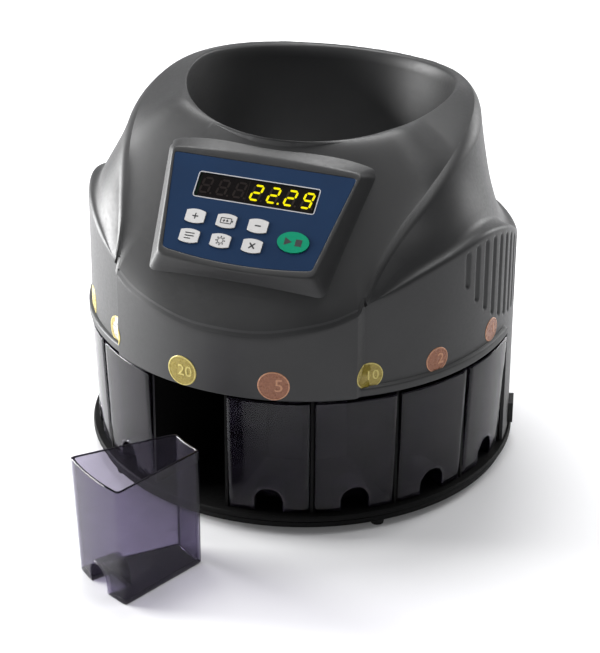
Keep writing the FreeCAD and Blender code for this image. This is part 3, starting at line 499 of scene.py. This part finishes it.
def hood_column(u):
    """One vertical section of the hood's outer skin, from the throat over the rim to the base."""
    face, angle, top = face_row(u, FACE_ROWS)
    edge = face[-1]
    direction = np.array([math.sin(angle), -math.cos(angle), 0.0])

    def funnel(z):
        rise = z - THROAT_Z
        return np.array([0, FUNNEL_Y(rise), z]) + direction * FUNNEL_R(rise)

    rows = [np.array([0, 0, THROAT_Z - 12]) + direction * THROAT_R]
    rows.append(np.array([0, 0, THROAT_Z - 3]) + direction * (THROAT_R + 0.1))
    crest = top - 0.4
    for i in range(FUNNEL_ROWS):
        rows.append(funnel(THROAT_Z + (crest - 4 - THROAT_Z) * i / (FUNNEL_ROWS - 1)))
    width = math.hypot(edge[0], edge[1] - RIM_Y) - RIM_R
    lip = min(0.9 + 2.6 * ease((math.degrees(angle) - 70) / 60), width * 0.45)
    crown = np.array([0, RIM_Y, top]) + direction * RIM_R
    steps = np.linalg.norm(np.diff(np.array(face), axis=0), axis=1)
    length = np.concatenate([[0.0], np.cumsum(steps)])

    def across(distance):
        return np.array([np.interp(distance, length, [p[k] for p in face]) for k in range(3)])

    rows += bend(funnel(crest - 4), crown, across(lip * 2.15), lip, 8)
    for i in range(1, FACE_ROWS + 1):
        share = 0.5 - 0.5 * math.cos(math.pi * i / FACE_ROWS)
        rows.append(across(lip + (length[-1] - lip) * share))
    edge = rows.pop()
    shoulder = SHOULDER(-SKIRT * math.cos(math.radians(u)))
    if u <= STRIP_EDGE:
        share = max(u - PANEL_EDGE, 0.0) / (STRIP_EDGE - PANEL_EDGE)
        z_low = edge[2] - 5.2 * share - 0.01
        corner = around(skirt_radius(u, z_low, shoulder), u, z_low)
        soft = 2.0 + 9.0 * (1 - ease(u / 30)) if u < PANEL_EDGE else 1.1
        if share < 0.35:
            below = corner + np.array([0, 0, -14.0])
            rows += bend(rows[-4], edge if share == 0 else (edge + corner) / 2, below, soft, 7)
            band = rows[-1]
            corner = around(skirt_radius(u, band[2] - 0.5, shoulder), u, band[2] - 0.5)
        else:
            rows += bend(rows[-2], edge, corner, 0.9, 7)
            band = rows[-1]
        rows += [band + (corner - band) * t for t in (0.2, 0.4, 0.6, 0.8, 1.0)]
        rest = NECK_ROWS + 12 + SKIRT_ROWS
        for i in range(1, rest + 1):
            z = corner[2] + (118 - corner[2]) * i / rest
            rows.append(around(skirt_radius(u, z, shoulder), u, z))
    else:
        out = 3.3 + 3.2 * ease((u - STRIP_EDGE) / 14)
        out -= 1.2 * ease((u - 90) / 25) + 2.2 * ease((u - 120) / 40)
        drop = 5.0 + 4.5 * ease((u - 70) / 40)
        r_edge = math.hypot(edge[0], edge[1])
        u_edge = math.degrees(math.atan2(edge[0], -edge[1]))
        u_band = u_edge + (u - u_edge) * (0.5 if u > 45 else 1 - 0.5 * (u - STRIP_EDGE) / 9.1)
        band = around(r_edge + out, u_band, edge[2] - drop)
        middle = edge + (band - edge) * 0.55 + around(1.0, u_band, 1.2)
        rows += bend(rows[-2], edge, middle, 0.9, 7)
        start = rows[-1]
        for t in (0.2, 0.4, 0.6, 0.8, 1.0):
            rows.append((1 - t) ** 2 * start + 2 * t * (1 - t) * middle + t * t * band)
        hold = ease((u - STRIP_EDGE) / 12)
        low_z = min(shoulder + 2.2 * hold, band[2] - 0.8)

        def neck(z):
            drawn = SKIRT + (neck_radius(u, z) - SKIRT) * hold
            share = min(max((z - low_z) / max(band[2] - low_z, 1), 0), 1)
            top_gap = r_edge + out - (SKIRT + (neck_radius(u, band[2]) - SKIRT) * hold)
            turn = u + (u_band - u) * share
            return around(min(drawn + top_gap * share ** 1.4, SKIRT), turn, z)

        fillet = min(7.0 * hold + 0.5, (band[2] - low_z) * 0.45)
        for i in range(1, NECK_ROWS + 1):
            rows.append(neck(band[2] + (low_z + fillet - band[2]) * i / NECK_ROWS))
        inner, outer = neck(low_z), around(SKIRT, u, min(shoulder, low_z - 0.4))
        below = outer - np.array([0, 0, 8.0])
        rows += bend(rows[-1], inner, outer, 5.0, 6)
        rows += bend(inner, outer, below, 3.6, 6)
        last = rows[-1][2]
        for i in range(1, SKIRT_ROWS + 1):
            z = last + (118 - last) * i / SKIRT_ROWS
            rows.append(around(skirt_radius(u, z, shoulder), u, z))
    for z in LIP_HEIGHTS:
        radius = skirt_radius(u, z, shoulder)
        if u < OPENING_EDGE:
            radius -= 0.9 * ease((LIP_Z + 0.9 - z) / 0.9)
        rows.append(around(radius, u, z))
    if u >= OPENING_EDGE:
        rows += [around(SKIRT, u, z) for z in WALL_HEIGHTS]
    return rows


LABEL_TOP, LABEL_LOW = 66.9, 54.2


def inside_label(point, inset):
    """True for a point that lies under the label, this far inside its outline."""
    p = CONSOLE.inverted() @ Vector(point)
    share = (p.y + 72.3) / 71.3
    half = LABEL_LOW + (LABEL_TOP - LABEL_LOW) * share
    return -74 + inset < p.y < -1 - inset and abs(p.x) < half - inset and -25 < p.z < 6


def build_hood():
    angles = hood_columns()
    half = [hood_column(u) for u in angles]
    upper = min(len(c) for c in half)
    columns = [(i, -1) for i in range(len(angles) - 2, 0, -1)] + [(i, 1) for i in range(len(angles))]
    points, index = [], {}
    for number, (i, sign) in enumerate(columns):
        for row, p in enumerate(half[i]):
            index[number, row] = len(points)
            points.append((sign * p[0], p[1], p[2]))
    count = len(columns)
    faces = []
    for a in range(count):
        b = (a + 1) % count
        ua, ub = angles[columns[a][0]], angles[columns[b][0]]
        rows = min(len(half[columns[a][0]]), len(half[columns[b][0]]))
        for row in range(rows - 1):
            quad = (index[a, row], index[a, row + 1], index[b, row + 1], index[b, row])
            middle = sum(np.array(points[k]) for k in quad) / 4
            if row >= upper - 1:
                low_u, z = min(ua, ub), middle[2]
                if low_u >= 162.7 and 24 < z < 58:
                    continue
                side = columns[a][1] > 0 or columns[b][1] > 0
                if side and 101.2 < (ua + ub) / 2 < 107.8 and 16.8 < z < 33.5:
                    continue
            if row < upper - 1 and inside_label(middle, 5.0):
                continue
            faces.append(quad)
    hood = new_piece("hood_shell", points, faces, HOOD, "chassis")
    # The wall thins towards the hopper's rear rim, where the outer skin and the funnel nearly meet.
    wall = hood.vertex_groups.new(name="wall")
    for k, p in enumerate(points):
        wall.add([k], 1 - 0.85 * ease((p[2] - 215) / 25) * ease((p[1] + 40) / 60), "REPLACE")
    shell = hood.modifiers.new("wall", "SOLIDIFY")
    shell.thickness = 2.4 * MM
    shell.offset = -1
    shell.vertex_group = "wall"
    bake(hood)
    for polygon in hood.data.polygons:
        polygon.use_smooth = True
    edge_shading(hood, 50)
    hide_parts("hood")
    return hood


hood = build_hood()


# ---------------------------------------------------------------- console

def in_console(x, y, n):
    return np.array(CONSOLE @ Vector((x, y, n)))


SIDE_POINTS = 44


def four_sides(top_half, top, low_half, low, top_bow=0.0, low_bow=0.0, inset=0.0, level=0.0):
    """Loop of the console: sides meet at rounded corners, top and bottom may bow."""
    corners = [(-low_half + inset, low + inset), (low_half - inset, low + inset),
               (top_half - inset, top - inset), (-top_half + inset, top - inset)]
    bows = (-low_bow, 0.0, top_bow, 0.0)
    loop = []
    for k in range(4):
        (x0, y0), (x1, y1) = corners[k], corners[(k + 1) % 4]
        for i in range(SIDE_POINTS):
            t = i / SIDE_POINTS
            bowed = y0 + (y1 - y0) * t + bows[k] * 4 * t * (1 - t)
            loop.append(np.array([x0 + (x1 - x0) * t, bowed, level]))
    return loop


def soften_loop(loop, times):
    for _ in range(times):
        loop = [(loop[i - 1] + 2 * loop[i] + loop[(i + 1) % len(loop)]) / 4 for i in range(len(loop))]
    return loop


def build_console():
    """Raised console: chin, sloping sides, narrow frame and the seat of the label."""
    foot = soften_loop(four_sides(77.3, 10.2, 63.5, -85.5, 1.6, -0.6), 3)
    top = soften_loop(four_sides(69.8, 3.2, 56.9, -77.5, 1.9, 3.9), 3)
    slope = []
    for i, (t, f) in enumerate(zip(top, foot)):
        side = i // SIDE_POINTS
        share = (i % SIDE_POINTS) / SIDE_POINTS
        middle = 4 * share * (1 - share)
        drop = {0: 11.2 - 3.7 * middle, 2: 11.2 - 9.6 * middle ** 0.5}.get(side, 11.2)
        slope.append(np.array([f[0] - t[0], f[1] - t[1], -drop]))
    buried = []
    for t, s in zip(top, slope):
        low, high = 0.0, 1.7
        for _ in range(24):
            mid = (low + high) / 2
            p = in_console(*(t + s * mid))
            if p[2] > face_plane(p[0], p[1]) - 1.3:
                low = mid
            else:
                high = mid
        buried.append(t + s * high)
    loops = [buried]
    for k in (0.3, 0.6, 0.85):
        loops.append([b + (t - b) * k for b, t in zip(buried, top)])
    size = 1.3
    for r in (0.0, 0.25, 0.5, 0.75, 1.0):
        ring = []
        for t, s in zip(top, slope):
            unit = s / np.linalg.norm(s)
            inward = -np.array([s[0], s[1], 0.0]) / max(np.linalg.norm(s[:2]), 1e-6)
            a, c = t + unit * size, t + inward * size
            ring.append((1 - r) ** 2 * a + 2 * r * (1 - r) * t + r * r * c)
        loops.append(ring)
    seat = ((-0.75, 0.0), (-0.45, -0.08), (-0.25, -0.3), (-0.2, -1.0), (5.0, -1.0), (5.0, -2.8), (-0.5, -2.8))
    for inset, level in seat:
        loops.append(soften_loop(four_sides(LABEL_TOP, -1, LABEL_LOW, -72.3, 0, 4.4, inset, level), 2))
    loops.append([b + (l - b) * 0.45 for b, l in zip(buried, loops[-1])])
    points = [in_console(*p) for loop in loops for p in loop]
    faces = lattice(loops, close_rows=True)
    edge_shading(new_piece("console_block", points, faces, HOOD, "chassis"), 48)


build_console()


def outline_strip(name, half_x, low, high, radius, width, level, rise, finish):
    """Closed rounded rectangle ring lying on the label."""
    def loop(grow, z):
        points = []
        corners = [(half_x, high, 0), (-half_x, high, 90), (-half_x, low, 180), (half_x, low, 270)]
        for x, y, start in corners:
            cx, cy = x - math.copysign(radius, x), y - math.copysign(radius, y - (low + high) / 2)
            for k in range(7):
                a = math.radians(start + 15 * k)
                r = radius + grow
                points.append(in_console(cx + r * math.cos(a), cy + r * math.sin(a), z))
        return points
    loops = [loop(0, level), loop(0, level + rise), loop(width, level + rise), loop(width, level)]
    points = [p for ring in loops for p in ring]
    new_piece(name, points, lattice(loops, close_rows=True), finish, "chassis", smooth=False)


outline_strip("display_border", 44.0, -31.4, -13.2, 1.4, 0.7, -0.22, 0.12, BORDER)


# ---------------------------------------------------------------- display digits and key symbols

def flat_shapes(name, outlines, level, rise, finish, body):
    """Several flat closed outlines (counter-clockwise, console X and Y), given a little thickness."""
    points, faces = [], []
    for outline in outlines:
        n, start = len(outline), len(points)
        points += [in_console(x, y, level) for x, y in outline]
        points += [in_console(x, y, level + rise) for x, y in outline]
        faces.append(tuple(start + i for i in reversed(range(n))))
        faces.append(tuple(start + n + i for i in range(n)))
        faces += [(start + i, start + (i + 1) % n, start + n + (i + 1) % n, start + n + i) for i in range(n)]
    new_piece(name, points, faces, finish, body, smooth=False)


def bar(x0, y0, x1, y1, width):
    """Stroke between two points with chamfered ends."""
    d = np.array([x1 - x0, y1 - y0], float)
    d /= np.linalg.norm(d)
    n = np.array([-d[1], d[0]]) * width / 2
    a, b, c = np.array([x0, y0]), np.array([x1, y1]), d * width / 2
    return [tuple(a), tuple(a + c - n), tuple(b - c - n), tuple(b), tuple(b - c + n), tuple(a + c + n)]


def disc_outline(x, y, radius, count=20):
    return [(x + radius * math.cos(2 * math.pi * i / count), y + radius * math.sin(2 * math.pi * i / count))
            for i in range(count)]


DIGIT_PITCH, DIGIT_FIRST, DIGIT_W, DIGIT_H, STROKE = 12.4, -37.3, 6.2, 10.9, 1.45
END_GAP, DIGIT_SLANT, DIGIT_Y, MODULE_FACE = 0.06, 0.17, -22.0, -1.32
SEGMENTS = {
    "a": (0, 2, 1, 2), "b": (1, 1, 1, 2), "c": (1, 0, 1, 1), "d": (0, 0, 1, 0),
    "e": (0, 0, 0, 1), "f": (0, 1, 0, 2), "g": (0, 1, 1, 1),
}
SHOWN = [("", False), ("", False), ("", False), ("abged", False), ("abged", True), ("abged", False),
         ("abcdfg", False)]


def build_digits():
    """Seven slanted digits with their dots; the unlit segments stay faintly visible."""
    lit, unlit = [], []
    for k, (on, dot) in enumerate(SHOWN):
        cx, cy = DIGIT_FIRST + DIGIT_PITCH * k, DIGIT_Y

        def spot(i, j):
            y = cy + (j - 1) * DIGIT_H / 2
            return cx + (i - 0.5) * DIGIT_W + (y - cy) * DIGIT_SLANT, y

        for letter, (i0, j0, i1, j1) in SEGMENTS.items():
            (x0, y0), (x1, y1) = spot(i0, j0), spot(i1, j1)
            gap_x, gap_y = (x1 - x0) * END_GAP, (y1 - y0) * END_GAP
            stroke = bar(x0 + gap_x, y0 + gap_y, x1 - gap_x, y1 - gap_y, STROKE)
            (lit if letter in on else unlit).append(stroke)
        (lit if dot else unlit).append(disc_outline(cx + DIGIT_W / 2 + 1.4, cy - DIGIT_H / 2 - 0.1, 0.75))
    flat_shapes("digits_lit", lit, MODULE_FACE, 0.14, LIT, "chassis")
    flat_shapes("digits_unlit", unlit, MODULE_FACE, 0.10, UNLIT, "chassis")
    seam_x = DIGIT_FIRST + DIGIT_PITCH * 2.45
    seam = bar(seam_x, -30.6, seam_x, -14.2, 0.25)
    flat_shapes("display_seam", [seam], MODULE_FACE, 0.06, UNLIT, "chassis")


build_digits()

KEYS = {"plus": (-37.6, -46.6), "battery": (-14.7, -46.6), "minus": (8.4, -46.6),
        "report": (-37.6, -61.6), "set": (-14.7, -61.6), "clear": (8.4, -61.6)}


def ring_segments(radius, width, count=16):
    """Circle of short overlapping strokes."""
    parts = []
    for i in range(count):
        a, b = (math.radians(360.0 * k / count) for k in (i, i + 1.12))
        parts.append(bar(radius * math.cos(a), radius * math.sin(a),
                         radius * math.cos(b), radius * math.sin(b), width))
    return parts


SYMBOL_SCALE, KEY_TOP, INK_RISE = 1.2, 0.58, 0.07


def key_symbols():
    shapes = {
        "plus": [bar(-2, 0, 2, 0, 0.7), bar(0, -2, 0, 2, 0.7)],
        "minus": [bar(-2, 0, 2, 0, 0.8)],
        "battery": [
            bar(-3.4, -1.6, 3.0, -1.6, 0.5), bar(-3.4, 1.6, 3.0, 1.6, 0.5), bar(-3.4, -1.8, -3.4, 1.8, 0.5),
            bar(3.0, -1.8, 3.0, 1.8, 0.5), bar(3.7, -0.8, 3.7, 0.8, 0.7), bar(-2.2, 0, -0.6, 0, 1.9),
            bar(-0.2, 0, 1.4, 0, 1.9)],
        "report": [bar(-3, 1.7, 3, 1.7, 0.6), bar(-3, 0, 3, 0, 0.6), bar(-3, -1.7, 1.2, -1.7, 0.6)],
        "set": ring_segments(1.7, 0.8) + [
            bar(2.0 * math.cos(a), 2.0 * math.sin(a), 3.1 * math.cos(a), 3.1 * math.sin(a), 0.9)
            for a in (math.pi / 4 * k for k in range(8))],
        "clear": [bar(-1.8, -1.8, 1.8, 1.8, 0.9), bar(-1.8, 1.8, 1.8, -1.8, 0.9)],
    }
    for name, (cx, cy) in KEYS.items():
        moved = [[(SYMBOL_SCALE * x + cx, SYMBOL_SCALE * y + cy) for x, y in outline]
                 for outline in shapes[name]]
        flat_shapes("symbol_" + name, moved, KEY_TOP, INK_RISE, INK, "key_" + name)
    cx, cy = 36.1, -54.3
    start = [[(cx - 6.2, cy - 2.9), (cx - 0.9, cy), (cx - 6.2, cy + 2.9)],
             [(cx + 1.6, cy - 2.5), (cx + 6.2, cy - 2.5), (cx + 6.2, cy + 2.5), (cx + 1.6, cy + 2.5)]]
    flat_shapes("symbol_start_stop", start, KEY_TOP, INK_RISE, INK, "key_start_stop")


key_symbols()


# ---------------------------------------------------------------- coin stickers

STICKERS = [
    (-57.5, 121.5, 21.5, "50", GOLD, None), (-36.8, 123.2, 21.3, "1", GOLD, SILVER),
    (-10.8, 119.8, 22.2, "20", GOLD, None), (13.3, 119.8, 21.6, "5", COPPER, None),
    (37.4, 122.8, 19.8, "10", GOLD, None), (57.1, 122.8, 18.8, "2", COPPER, None),
    (79.4, 123.7, 17.4, "1", COPPER, None), (-79.8, 122.0, 22.5, "2", SILVER, GOLD),
]


def sticker_radius(angle):
    """Radius of the smooth wall under a sticker, well below the skirt's top edge."""
    return skirt_radius(abs(angle), 122.0, 400.0)


def on_wall(angle, height, x, y, rise):
    """Point of a sticker: x along the wall, y up it."""
    turn = angle + math.degrees(x / SKIRT)
    return around(sticker_radius(turn) + rise, turn, height + y)


def digit_faces(text, size):
    """Outline mesh of a number, centred, as points and faces."""
    curve = bpy.data.curves.new("number", "FONT")
    curve.body, curve.size = text, size
    curve.align_x, curve.align_y = "CENTER", "CENTER"
    curve.extrude, curve.bevel_depth = 0.12, 0.05
    curve.resolution_u = 3
    carrier = link(bpy.data.objects.new("number", curve))
    graph = bpy.context.evaluated_depsgraph_get()
    mesh = bpy.data.meshes.new_from_object(carrier.evaluated_get(graph))
    points = [tuple(v.co) for v in mesh.vertices]
    faces = [tuple(p.vertices) for p in mesh.polygons]
    bpy.data.objects.remove(carrier)
    bpy.data.meshes.remove(mesh)
    return points, faces


def build_sticker(number, angle, height, diameter, text, finish, centre):
    half = diameter / 2
    profile = [(0.0, 0.22), (0.35, 0.22), (0.62, 0.22), (0.66, 0.25), (0.70, 0.30), (0.74, 0.25),
               (0.78, 0.22), (0.86, 0.22), (0.89, 0.26), (0.92, 0.38), (0.97, 0.38), (1.0, 0.30), (1.0, 0.0)]
    count = 72
    rows = [[on_wall(angle, height, half * max(r, 0.004) * math.cos(a), half * max(r, 0.004) * math.sin(a), t)
             for a in (2 * math.pi * k / count for k in range(count))] for r, t in profile]
    points = [p for row in rows for p in row]
    faces = lattice(rows)
    faces.append(tuple(range(count)))
    base = len(points) - count
    faces.append(tuple(base + k for k in reversed(range(count))))
    piece = new_piece(f"coin_picture_{number}", points, faces, finish, "chassis")
    if centre:
        piece.data.materials.append(centre)
    piece.data.materials.append(RELIEF[finish])
    for polygon in piece.data.polygons:
        c = polygon.center / MM
        turn = math.degrees(math.atan2(c.x, -c.y)) - angle
        reach = math.hypot(SKIRT * math.radians(turn), c.z - height)
        if reach > half * 0.915:
            polygon.material_index = len(piece.data.materials) - 1
        elif centre and reach < half * 0.66:
            polygon.material_index = 1
    size = diameter * (0.52 if len(text) > 1 else 0.62)
    marks, mark_faces = digit_faces(text, size)
    shift = diameter * (0.10 if len(text) > 1 else 0.16)
    raised = [on_wall(angle, height, x + shift, y, 0.24 + 0.9 * max(z, -0.1)) for x, y, z in marks]
    new_piece(f"coin_number_{number}", raised, mark_faces, RELIEF[centre or finish], "chassis",
              smooth=False)
    return piece


stickers = [build_sticker(k + 1, *data) for k, data in enumerate(STICKERS)]
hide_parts("coin_stickers")


# ---------------------------------------------------------------- drawers

PITCH = 23.0
FRONT_LOW, FRONT_TOP, BACK_R = 152.0, 156.0, 79.0
DRAWER_H, DRAWER_WALL, GAP = 89.0, 2.0, 1.5
DRAWER_Z = BASE_Z + 0.3
ARCH_R, ARCH_COVER_R, ARCH_LEGS = 10.0, 12.0, 9.0
LOOSE, LOOSE_X, LOOSE_Y, LOOSE_TURN = 4, 33.1, -130.8, -33


def drawer_loop(front, back, gap, z):
    """Plan of a drawer at one height: curved front and back, sides parallel to the dividers."""
    half = math.radians(PITCH / 2)

    def corner(r, side):
        along = math.sqrt(r * r - gap * gap)
        return np.array([side * (along * math.sin(half) - gap * math.cos(half)),
                         -(along * math.cos(half) + gap * math.sin(half))])

    f_right, b_right = corner(front, 1), corner(back, 1)
    spots = []
    a = math.degrees(math.atan2(f_right[0], -f_right[1]))
    spots += [around(front, t, z)[:2] for t in np.linspace(-a, a, 30)]
    side = [f_right + (b_right - f_right) * t for t in np.linspace(0, 1, 26)[1:-1]]
    spots += side
    b = math.degrees(math.atan2(b_right[0], -b_right[1]))
    spots += [around(back, t, z)[:2] for t in np.linspace(b, -b, 14)]
    spots += [s * np.array([-1, 1]) for s in side[::-1]]
    return soften_loop([np.array([s[0], s[1], z]) for s in spots], 1)


def drawer_shell():
    """Open tray with rounded rim, drafted front and thin walls."""
    loops = [drawer_loop(FRONT_LOW - 0.6, BACK_R + 0.6, GAP + 0.6, 0.0),
             drawer_loop(FRONT_LOW, BACK_R, GAP, 0.6)]
    steps = 10
    for i in range(1, steps + 1):
        z = 0.6 + (DRAWER_H - 1.1) * i / steps
        front = FRONT_LOW + (FRONT_TOP - FRONT_LOW) * z / DRAWER_H
        loops.append(drawer_loop(front, BACK_R, GAP, z))
    loops.append(drawer_loop(FRONT_TOP - 0.5, BACK_R + 0.5, GAP + 0.5, DRAWER_H))
    loops.append(drawer_loop(FRONT_TOP - 1.5, BACK_R + 1.5, GAP + 1.5, DRAWER_H))
    for i in range(steps, -1, -1):
        z = 2.6 + (DRAWER_H - 3.2) * i / steps
        front = FRONT_LOW + (FRONT_TOP - FRONT_LOW) * z / DRAWER_H - DRAWER_WALL
        loops.append(drawer_loop(front, BACK_R + DRAWER_WALL, GAP + DRAWER_WALL, z))
    loops.append(drawer_loop(FRONT_LOW - 2.6, BACK_R + 2.6, GAP + 2.6, 2.0))
    points = [p for loop in loops for p in loop]
    faces = lattice(loops)
    count = len(loops[0])
    faces.append(tuple(reversed(range(count))))
    faces.append(tuple(len(points) - count + k for k in range(count)))
    return points, faces


def arch_solid(name, radius, y0, y1, low):
    """Half-round topped block along Y, as a loose object for a boolean."""
    outline = [(-radius, low), (radius, low)]
    outline += [(radius * math.cos(a), ARCH_LEGS + radius * math.sin(a))
                for a in (math.pi * k / 24 for k in range(25))]
    n = len(outline)
    points = [(x, y, z) for y in (y0, y1) for x, z in outline]
    faces = [tuple(range(n)), tuple(n + k for k in reversed(range(n)))]
    faces += [(k, n + k, n + (k + 1) % n, (k + 1) % n) for k in range(n)]
    return loose_solid(name, points, faces)


def drawer_mesh():
    """Tray of one drawer with the finger arch let into the foot of its front wall."""
    tray = loose_solid("drawer_tray", *drawer_shell())
    rear = -(FRONT_LOW - 16.0 - DRAWER_WALL)
    helpers = []
    for name, radius, y0, y1, low, operation in (
        ("arch_cover", ARCH_COVER_R, -(FRONT_LOW - 1.2), rear, 0.4, "UNION"),
        ("arch_hole", ARCH_R, -(FRONT_LOW + 8), rear - DRAWER_WALL, -4.0, "DIFFERENCE"),
    ):
        helper = arch_solid(name, radius, y0, y1, low)
        step = tray.modifiers.new(name, "BOOLEAN")
        step.operation = operation
        step.solver = "EXACT"
        step.object = helper
        helpers.append(helper)
    bpy.context.view_layer.update()
    bake(tray)
    for helper in helpers:
        bpy.data.objects.remove(helper)
    edge_shading(tray, 30)
    return tray


tray = drawer_mesh()
tray.data.materials.clear()
tray.data.materials.append(SMOKE)
tray.data.materials.append(SMOKE_PAINTED_EDGE_SHADE)
# Painted shade: the top rim, the bottom and the back corners of each tray take the darker edge tint.
for polygon in tray.data.polygons:
    spot = polygon.center / MM
    reach = math.hypot(spot.x, spot.y)
    turn = abs(math.degrees(math.atan2(spot.x, -spot.y)))
    at_corner = reach < BACK_R + 1.5 and turn > PITCH / 2 - math.degrees(3.0 / reach)
    polygon.material_index = int(spot.z > DRAWER_H - 0.8 or spot.z < 0.7 or at_corner)
for number in range(1, 9):
    angle = PITCH * (number - 4.5)
    place = Matrix.Translation((0, 0, DRAWER_Z * MM)) @ Matrix.Rotation(math.radians(angle), 4, "Z")
    if number == LOOSE:
        place = Matrix.Translation((LOOSE_X * MM, LOOSE_Y * MM, 0))
        place @= Matrix.Rotation(math.radians(LOOSE_TURN), 4, "Z")
    drawer = link(bpy.data.objects.new(f"coin_drawer_{number}", tray.data.copy()))
    drawer.data.transform(place)
    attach(drawer, f"drawer_{number}")
    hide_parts(f"drawer_{number}")
bpy.data.objects.remove(tray)


def arch_bead(number, place):
    """Rounded raised edge round the finger arch on the front of one drawer."""
    path = [(-1, 1.2), (-1, 5.0), (-1, ARCH_LEGS)]
    path += [(math.cos(a), ARCH_LEGS + math.sin(a))
             for a in (math.pi - math.pi * k / 20 for k in range(1, 20))]
    path += [(1, ARCH_LEGS), (1, 5.0), (1, 1.2)]
    loops = []
    for reach, rise in ((10.1, -0.1), (10.25, 0.3), (10.7, 0.5), (11.4, 0.5), (11.9, 0.3), (12.1, -0.1)):
        loop = []
        for x, z in path:
            wide = x * reach
            high = z if z <= ARCH_LEGS else ARCH_LEGS + (z - ARCH_LEGS) * reach
            front = FRONT_LOW + (FRONT_TOP - FRONT_LOW) * high / DRAWER_H + rise
            loop.append(place @ Vector((wide, -math.sqrt(front * front - wide * wide), high)))
        loops.append(loop)
    points = [tuple(p) for loop in loops for p in loop]
    faces = lattice(loops, close_rows=True, close_columns=False)
    count = len(path)
    faces += [tuple(k * count for k in range(6)), tuple(k * count + count - 1 for k in reversed(range(6)))]
    new_piece(f"arch_bead_{number}", points, faces, SMOKE, f"drawer_{number}")


for number in range(1, 9):
    turn = LOOSE_TURN if number == LOOSE else PITCH * (number - 4.5)
    spot = (LOOSE_X, LOOSE_Y, 0) if number == LOOSE else (0, 0, DRAWER_Z)
    arch_bead(number, Matrix.Translation(spot) @ Matrix.Rotation(math.radians(turn), 4, "Z"))


# ---------------------------------------------------------------- finishes of the CAD parts

FINISHES = {
    "base_plate": DIVIDER, "rubber_feet": RUBBER, "drawer_frame": DIVIDER, "sort_deck": ALUMINIUM,
    "sorting_rail": BLACK, "disc_shaft": STEEL, "feed_disc": DISC, "disc_hub": ALUMINIUM, "disc_nut": STEEL,
    "coin_fingers": RUBBER, "lower_bearing": STEEL, "upper_bearing": STEEL, "bearing_housing": ALUMINIUM,
    "disc_pulley": DISC, "motor_pulley": DISC, "motor_shaft": STEEL, "drive_motor": STEEL,
    "motor_bracket": STEEL, "drive_belt": BELT, "coin_sensor": BLACK, "mains_transformer": STEEL,
    "main_board": BOARD, "power_board": BOARD, "board_posts": BLACK, "power_board_posts": BLACK,
    "main_board_parts": CHIP, "power_board_parts": CHIP, "rear_panel": BLACK, "mains_inlet": BLACK,
    "switch_housing": BLACK, "fuse_holder": BLACK, "power_rocker": BLACK, "side_port": BLACK,
    "keypad_label": LABEL, "display_lens": LENS, "display_module": MODULE, "keypad_board": BOARD,
    "key_switches": CHIP, "key_start_stop": KEY_GREEN,
}
for name in KEYS:
    FINISHES["key_" + name] = KEY_GREY
for name, finish in FINISHES.items():
    node = NODES[name]
    if node.material_slots:
        for slot in node.material_slots:
            slot.link = "OBJECT"
            slot.material = finish
    else:
        node.data.materials.append(finish)


# ---------------------------------------------------------------- studio

FLOOR_COLOUR, FLOOR_GLOW = (0.84, 0.84, 0.85), 0.06


def build_floor():
    """Pale sweep: flat under the machine, curving up far behind it."""
    rows = []
    curve = [(1500 + 900 * math.sin(a), 900 - 900 * math.cos(a))
             for a in (math.pi / 24 * k for k in range(1, 13))]
    for y, z in [(-3500, 0), (-1500, 0), (0, 0), (1500, 0)] + curve + [(2400, 3000)]:
        rows.append([(x, y, z) for x in np.linspace(-4000, 4000, 9)])
    points = [p for row in rows for p in row]
    faces = lattice(rows, close_columns=False)
    mesh = bpy.data.meshes.new("floor")
    mesh.from_pydata([tuple(MM * float(c) for c in p) for p in points], [], faces)
    mesh.polygons.foreach_set("use_smooth", [True] * len(mesh.polygons))
    floor = link(bpy.data.objects.new("floor", mesh))
    paper = Finish("floor_paper")
    paper.set(Base_Color=(*FLOOR_COLOUR, 1), Roughness=0.85,
              Emission_Color=(1, 1, 1, 1), Emission_Strength=FLOOR_GLOW)
    floor.data.materials.append(paper.material)


build_floor()


def softbox(name, place, aim, width, height, power):
    light = bpy.data.lights.new(name, "AREA")
    light.shape = "RECTANGLE"
    light.size, light.size_y = width, height
    light.energy = power
    lamp = link(bpy.data.objects.new(name, light))
    lamp.location = place
    lamp.rotation_mode = "QUATERNION"
    lamp.rotation_quaternion = (Vector(aim) - Vector(place)).to_track_quat("-Z", "Y")


softbox("left_box", (-1.30, -0.15, 0.36), (0, 0, 0.15), 0.8, 0.8, 50)
softbox("right_back_box", (0.80, 1.15, 0.55), (0, 0, 0.18), 0.5, 0.7, 9)
softbox("top_box", (-0.35, 0.60, 1.75), (0, 0, 0.1), 1.0, 0.9, 31)
softbox("high_right_box", (0.65, -0.05, 1.80), (0, 0, 0.2), 0.8, 0.7, 8)

world = bpy.data.worlds.new("studio")
world.use_nodes = True
world.node_tree.nodes["Background"].inputs[0].default_value = (0.95, 0.96, 1.0, 1)
world.node_tree.nodes["Background"].inputs[1].default_value = 0.16
bpy.context.scene.world = world
bpy.context.scene.view_settings.view_transform = "Standard"

CAMERA_AZIMUTH, CAMERA_ELEVATION, CAMERA_ROLL = 20.47, 27.17, 0.31
CAMERA_PLACE = (0.5450, -1.4663, 0.8869)
az, el, roll = (math.radians(v) for v in (CAMERA_AZIMUTH, CAMERA_ELEVATION, CAMERA_ROLL))
back = Vector((math.sin(az) * math.cos(el), -math.cos(az) * math.cos(el), math.sin(el)))
right = Vector((math.cos(az), math.sin(az), 0))
above = back.cross(right)
x_axis = right * math.cos(roll) + above * math.sin(roll)
y_axis = above * math.cos(roll) - right * math.sin(roll)
camera_data = bpy.data.cameras.new("camera")
camera_data.lens, camera_data.sensor_width = 130.3, 36
camera = link(bpy.data.objects.new("camera", camera_data))
turned = Matrix((x_axis, y_axis, back)).transposed().to_4x4()
camera.matrix_world = Matrix.Translation(CAMERA_PLACE) @ turned
bpy.context.scene.camera = camera
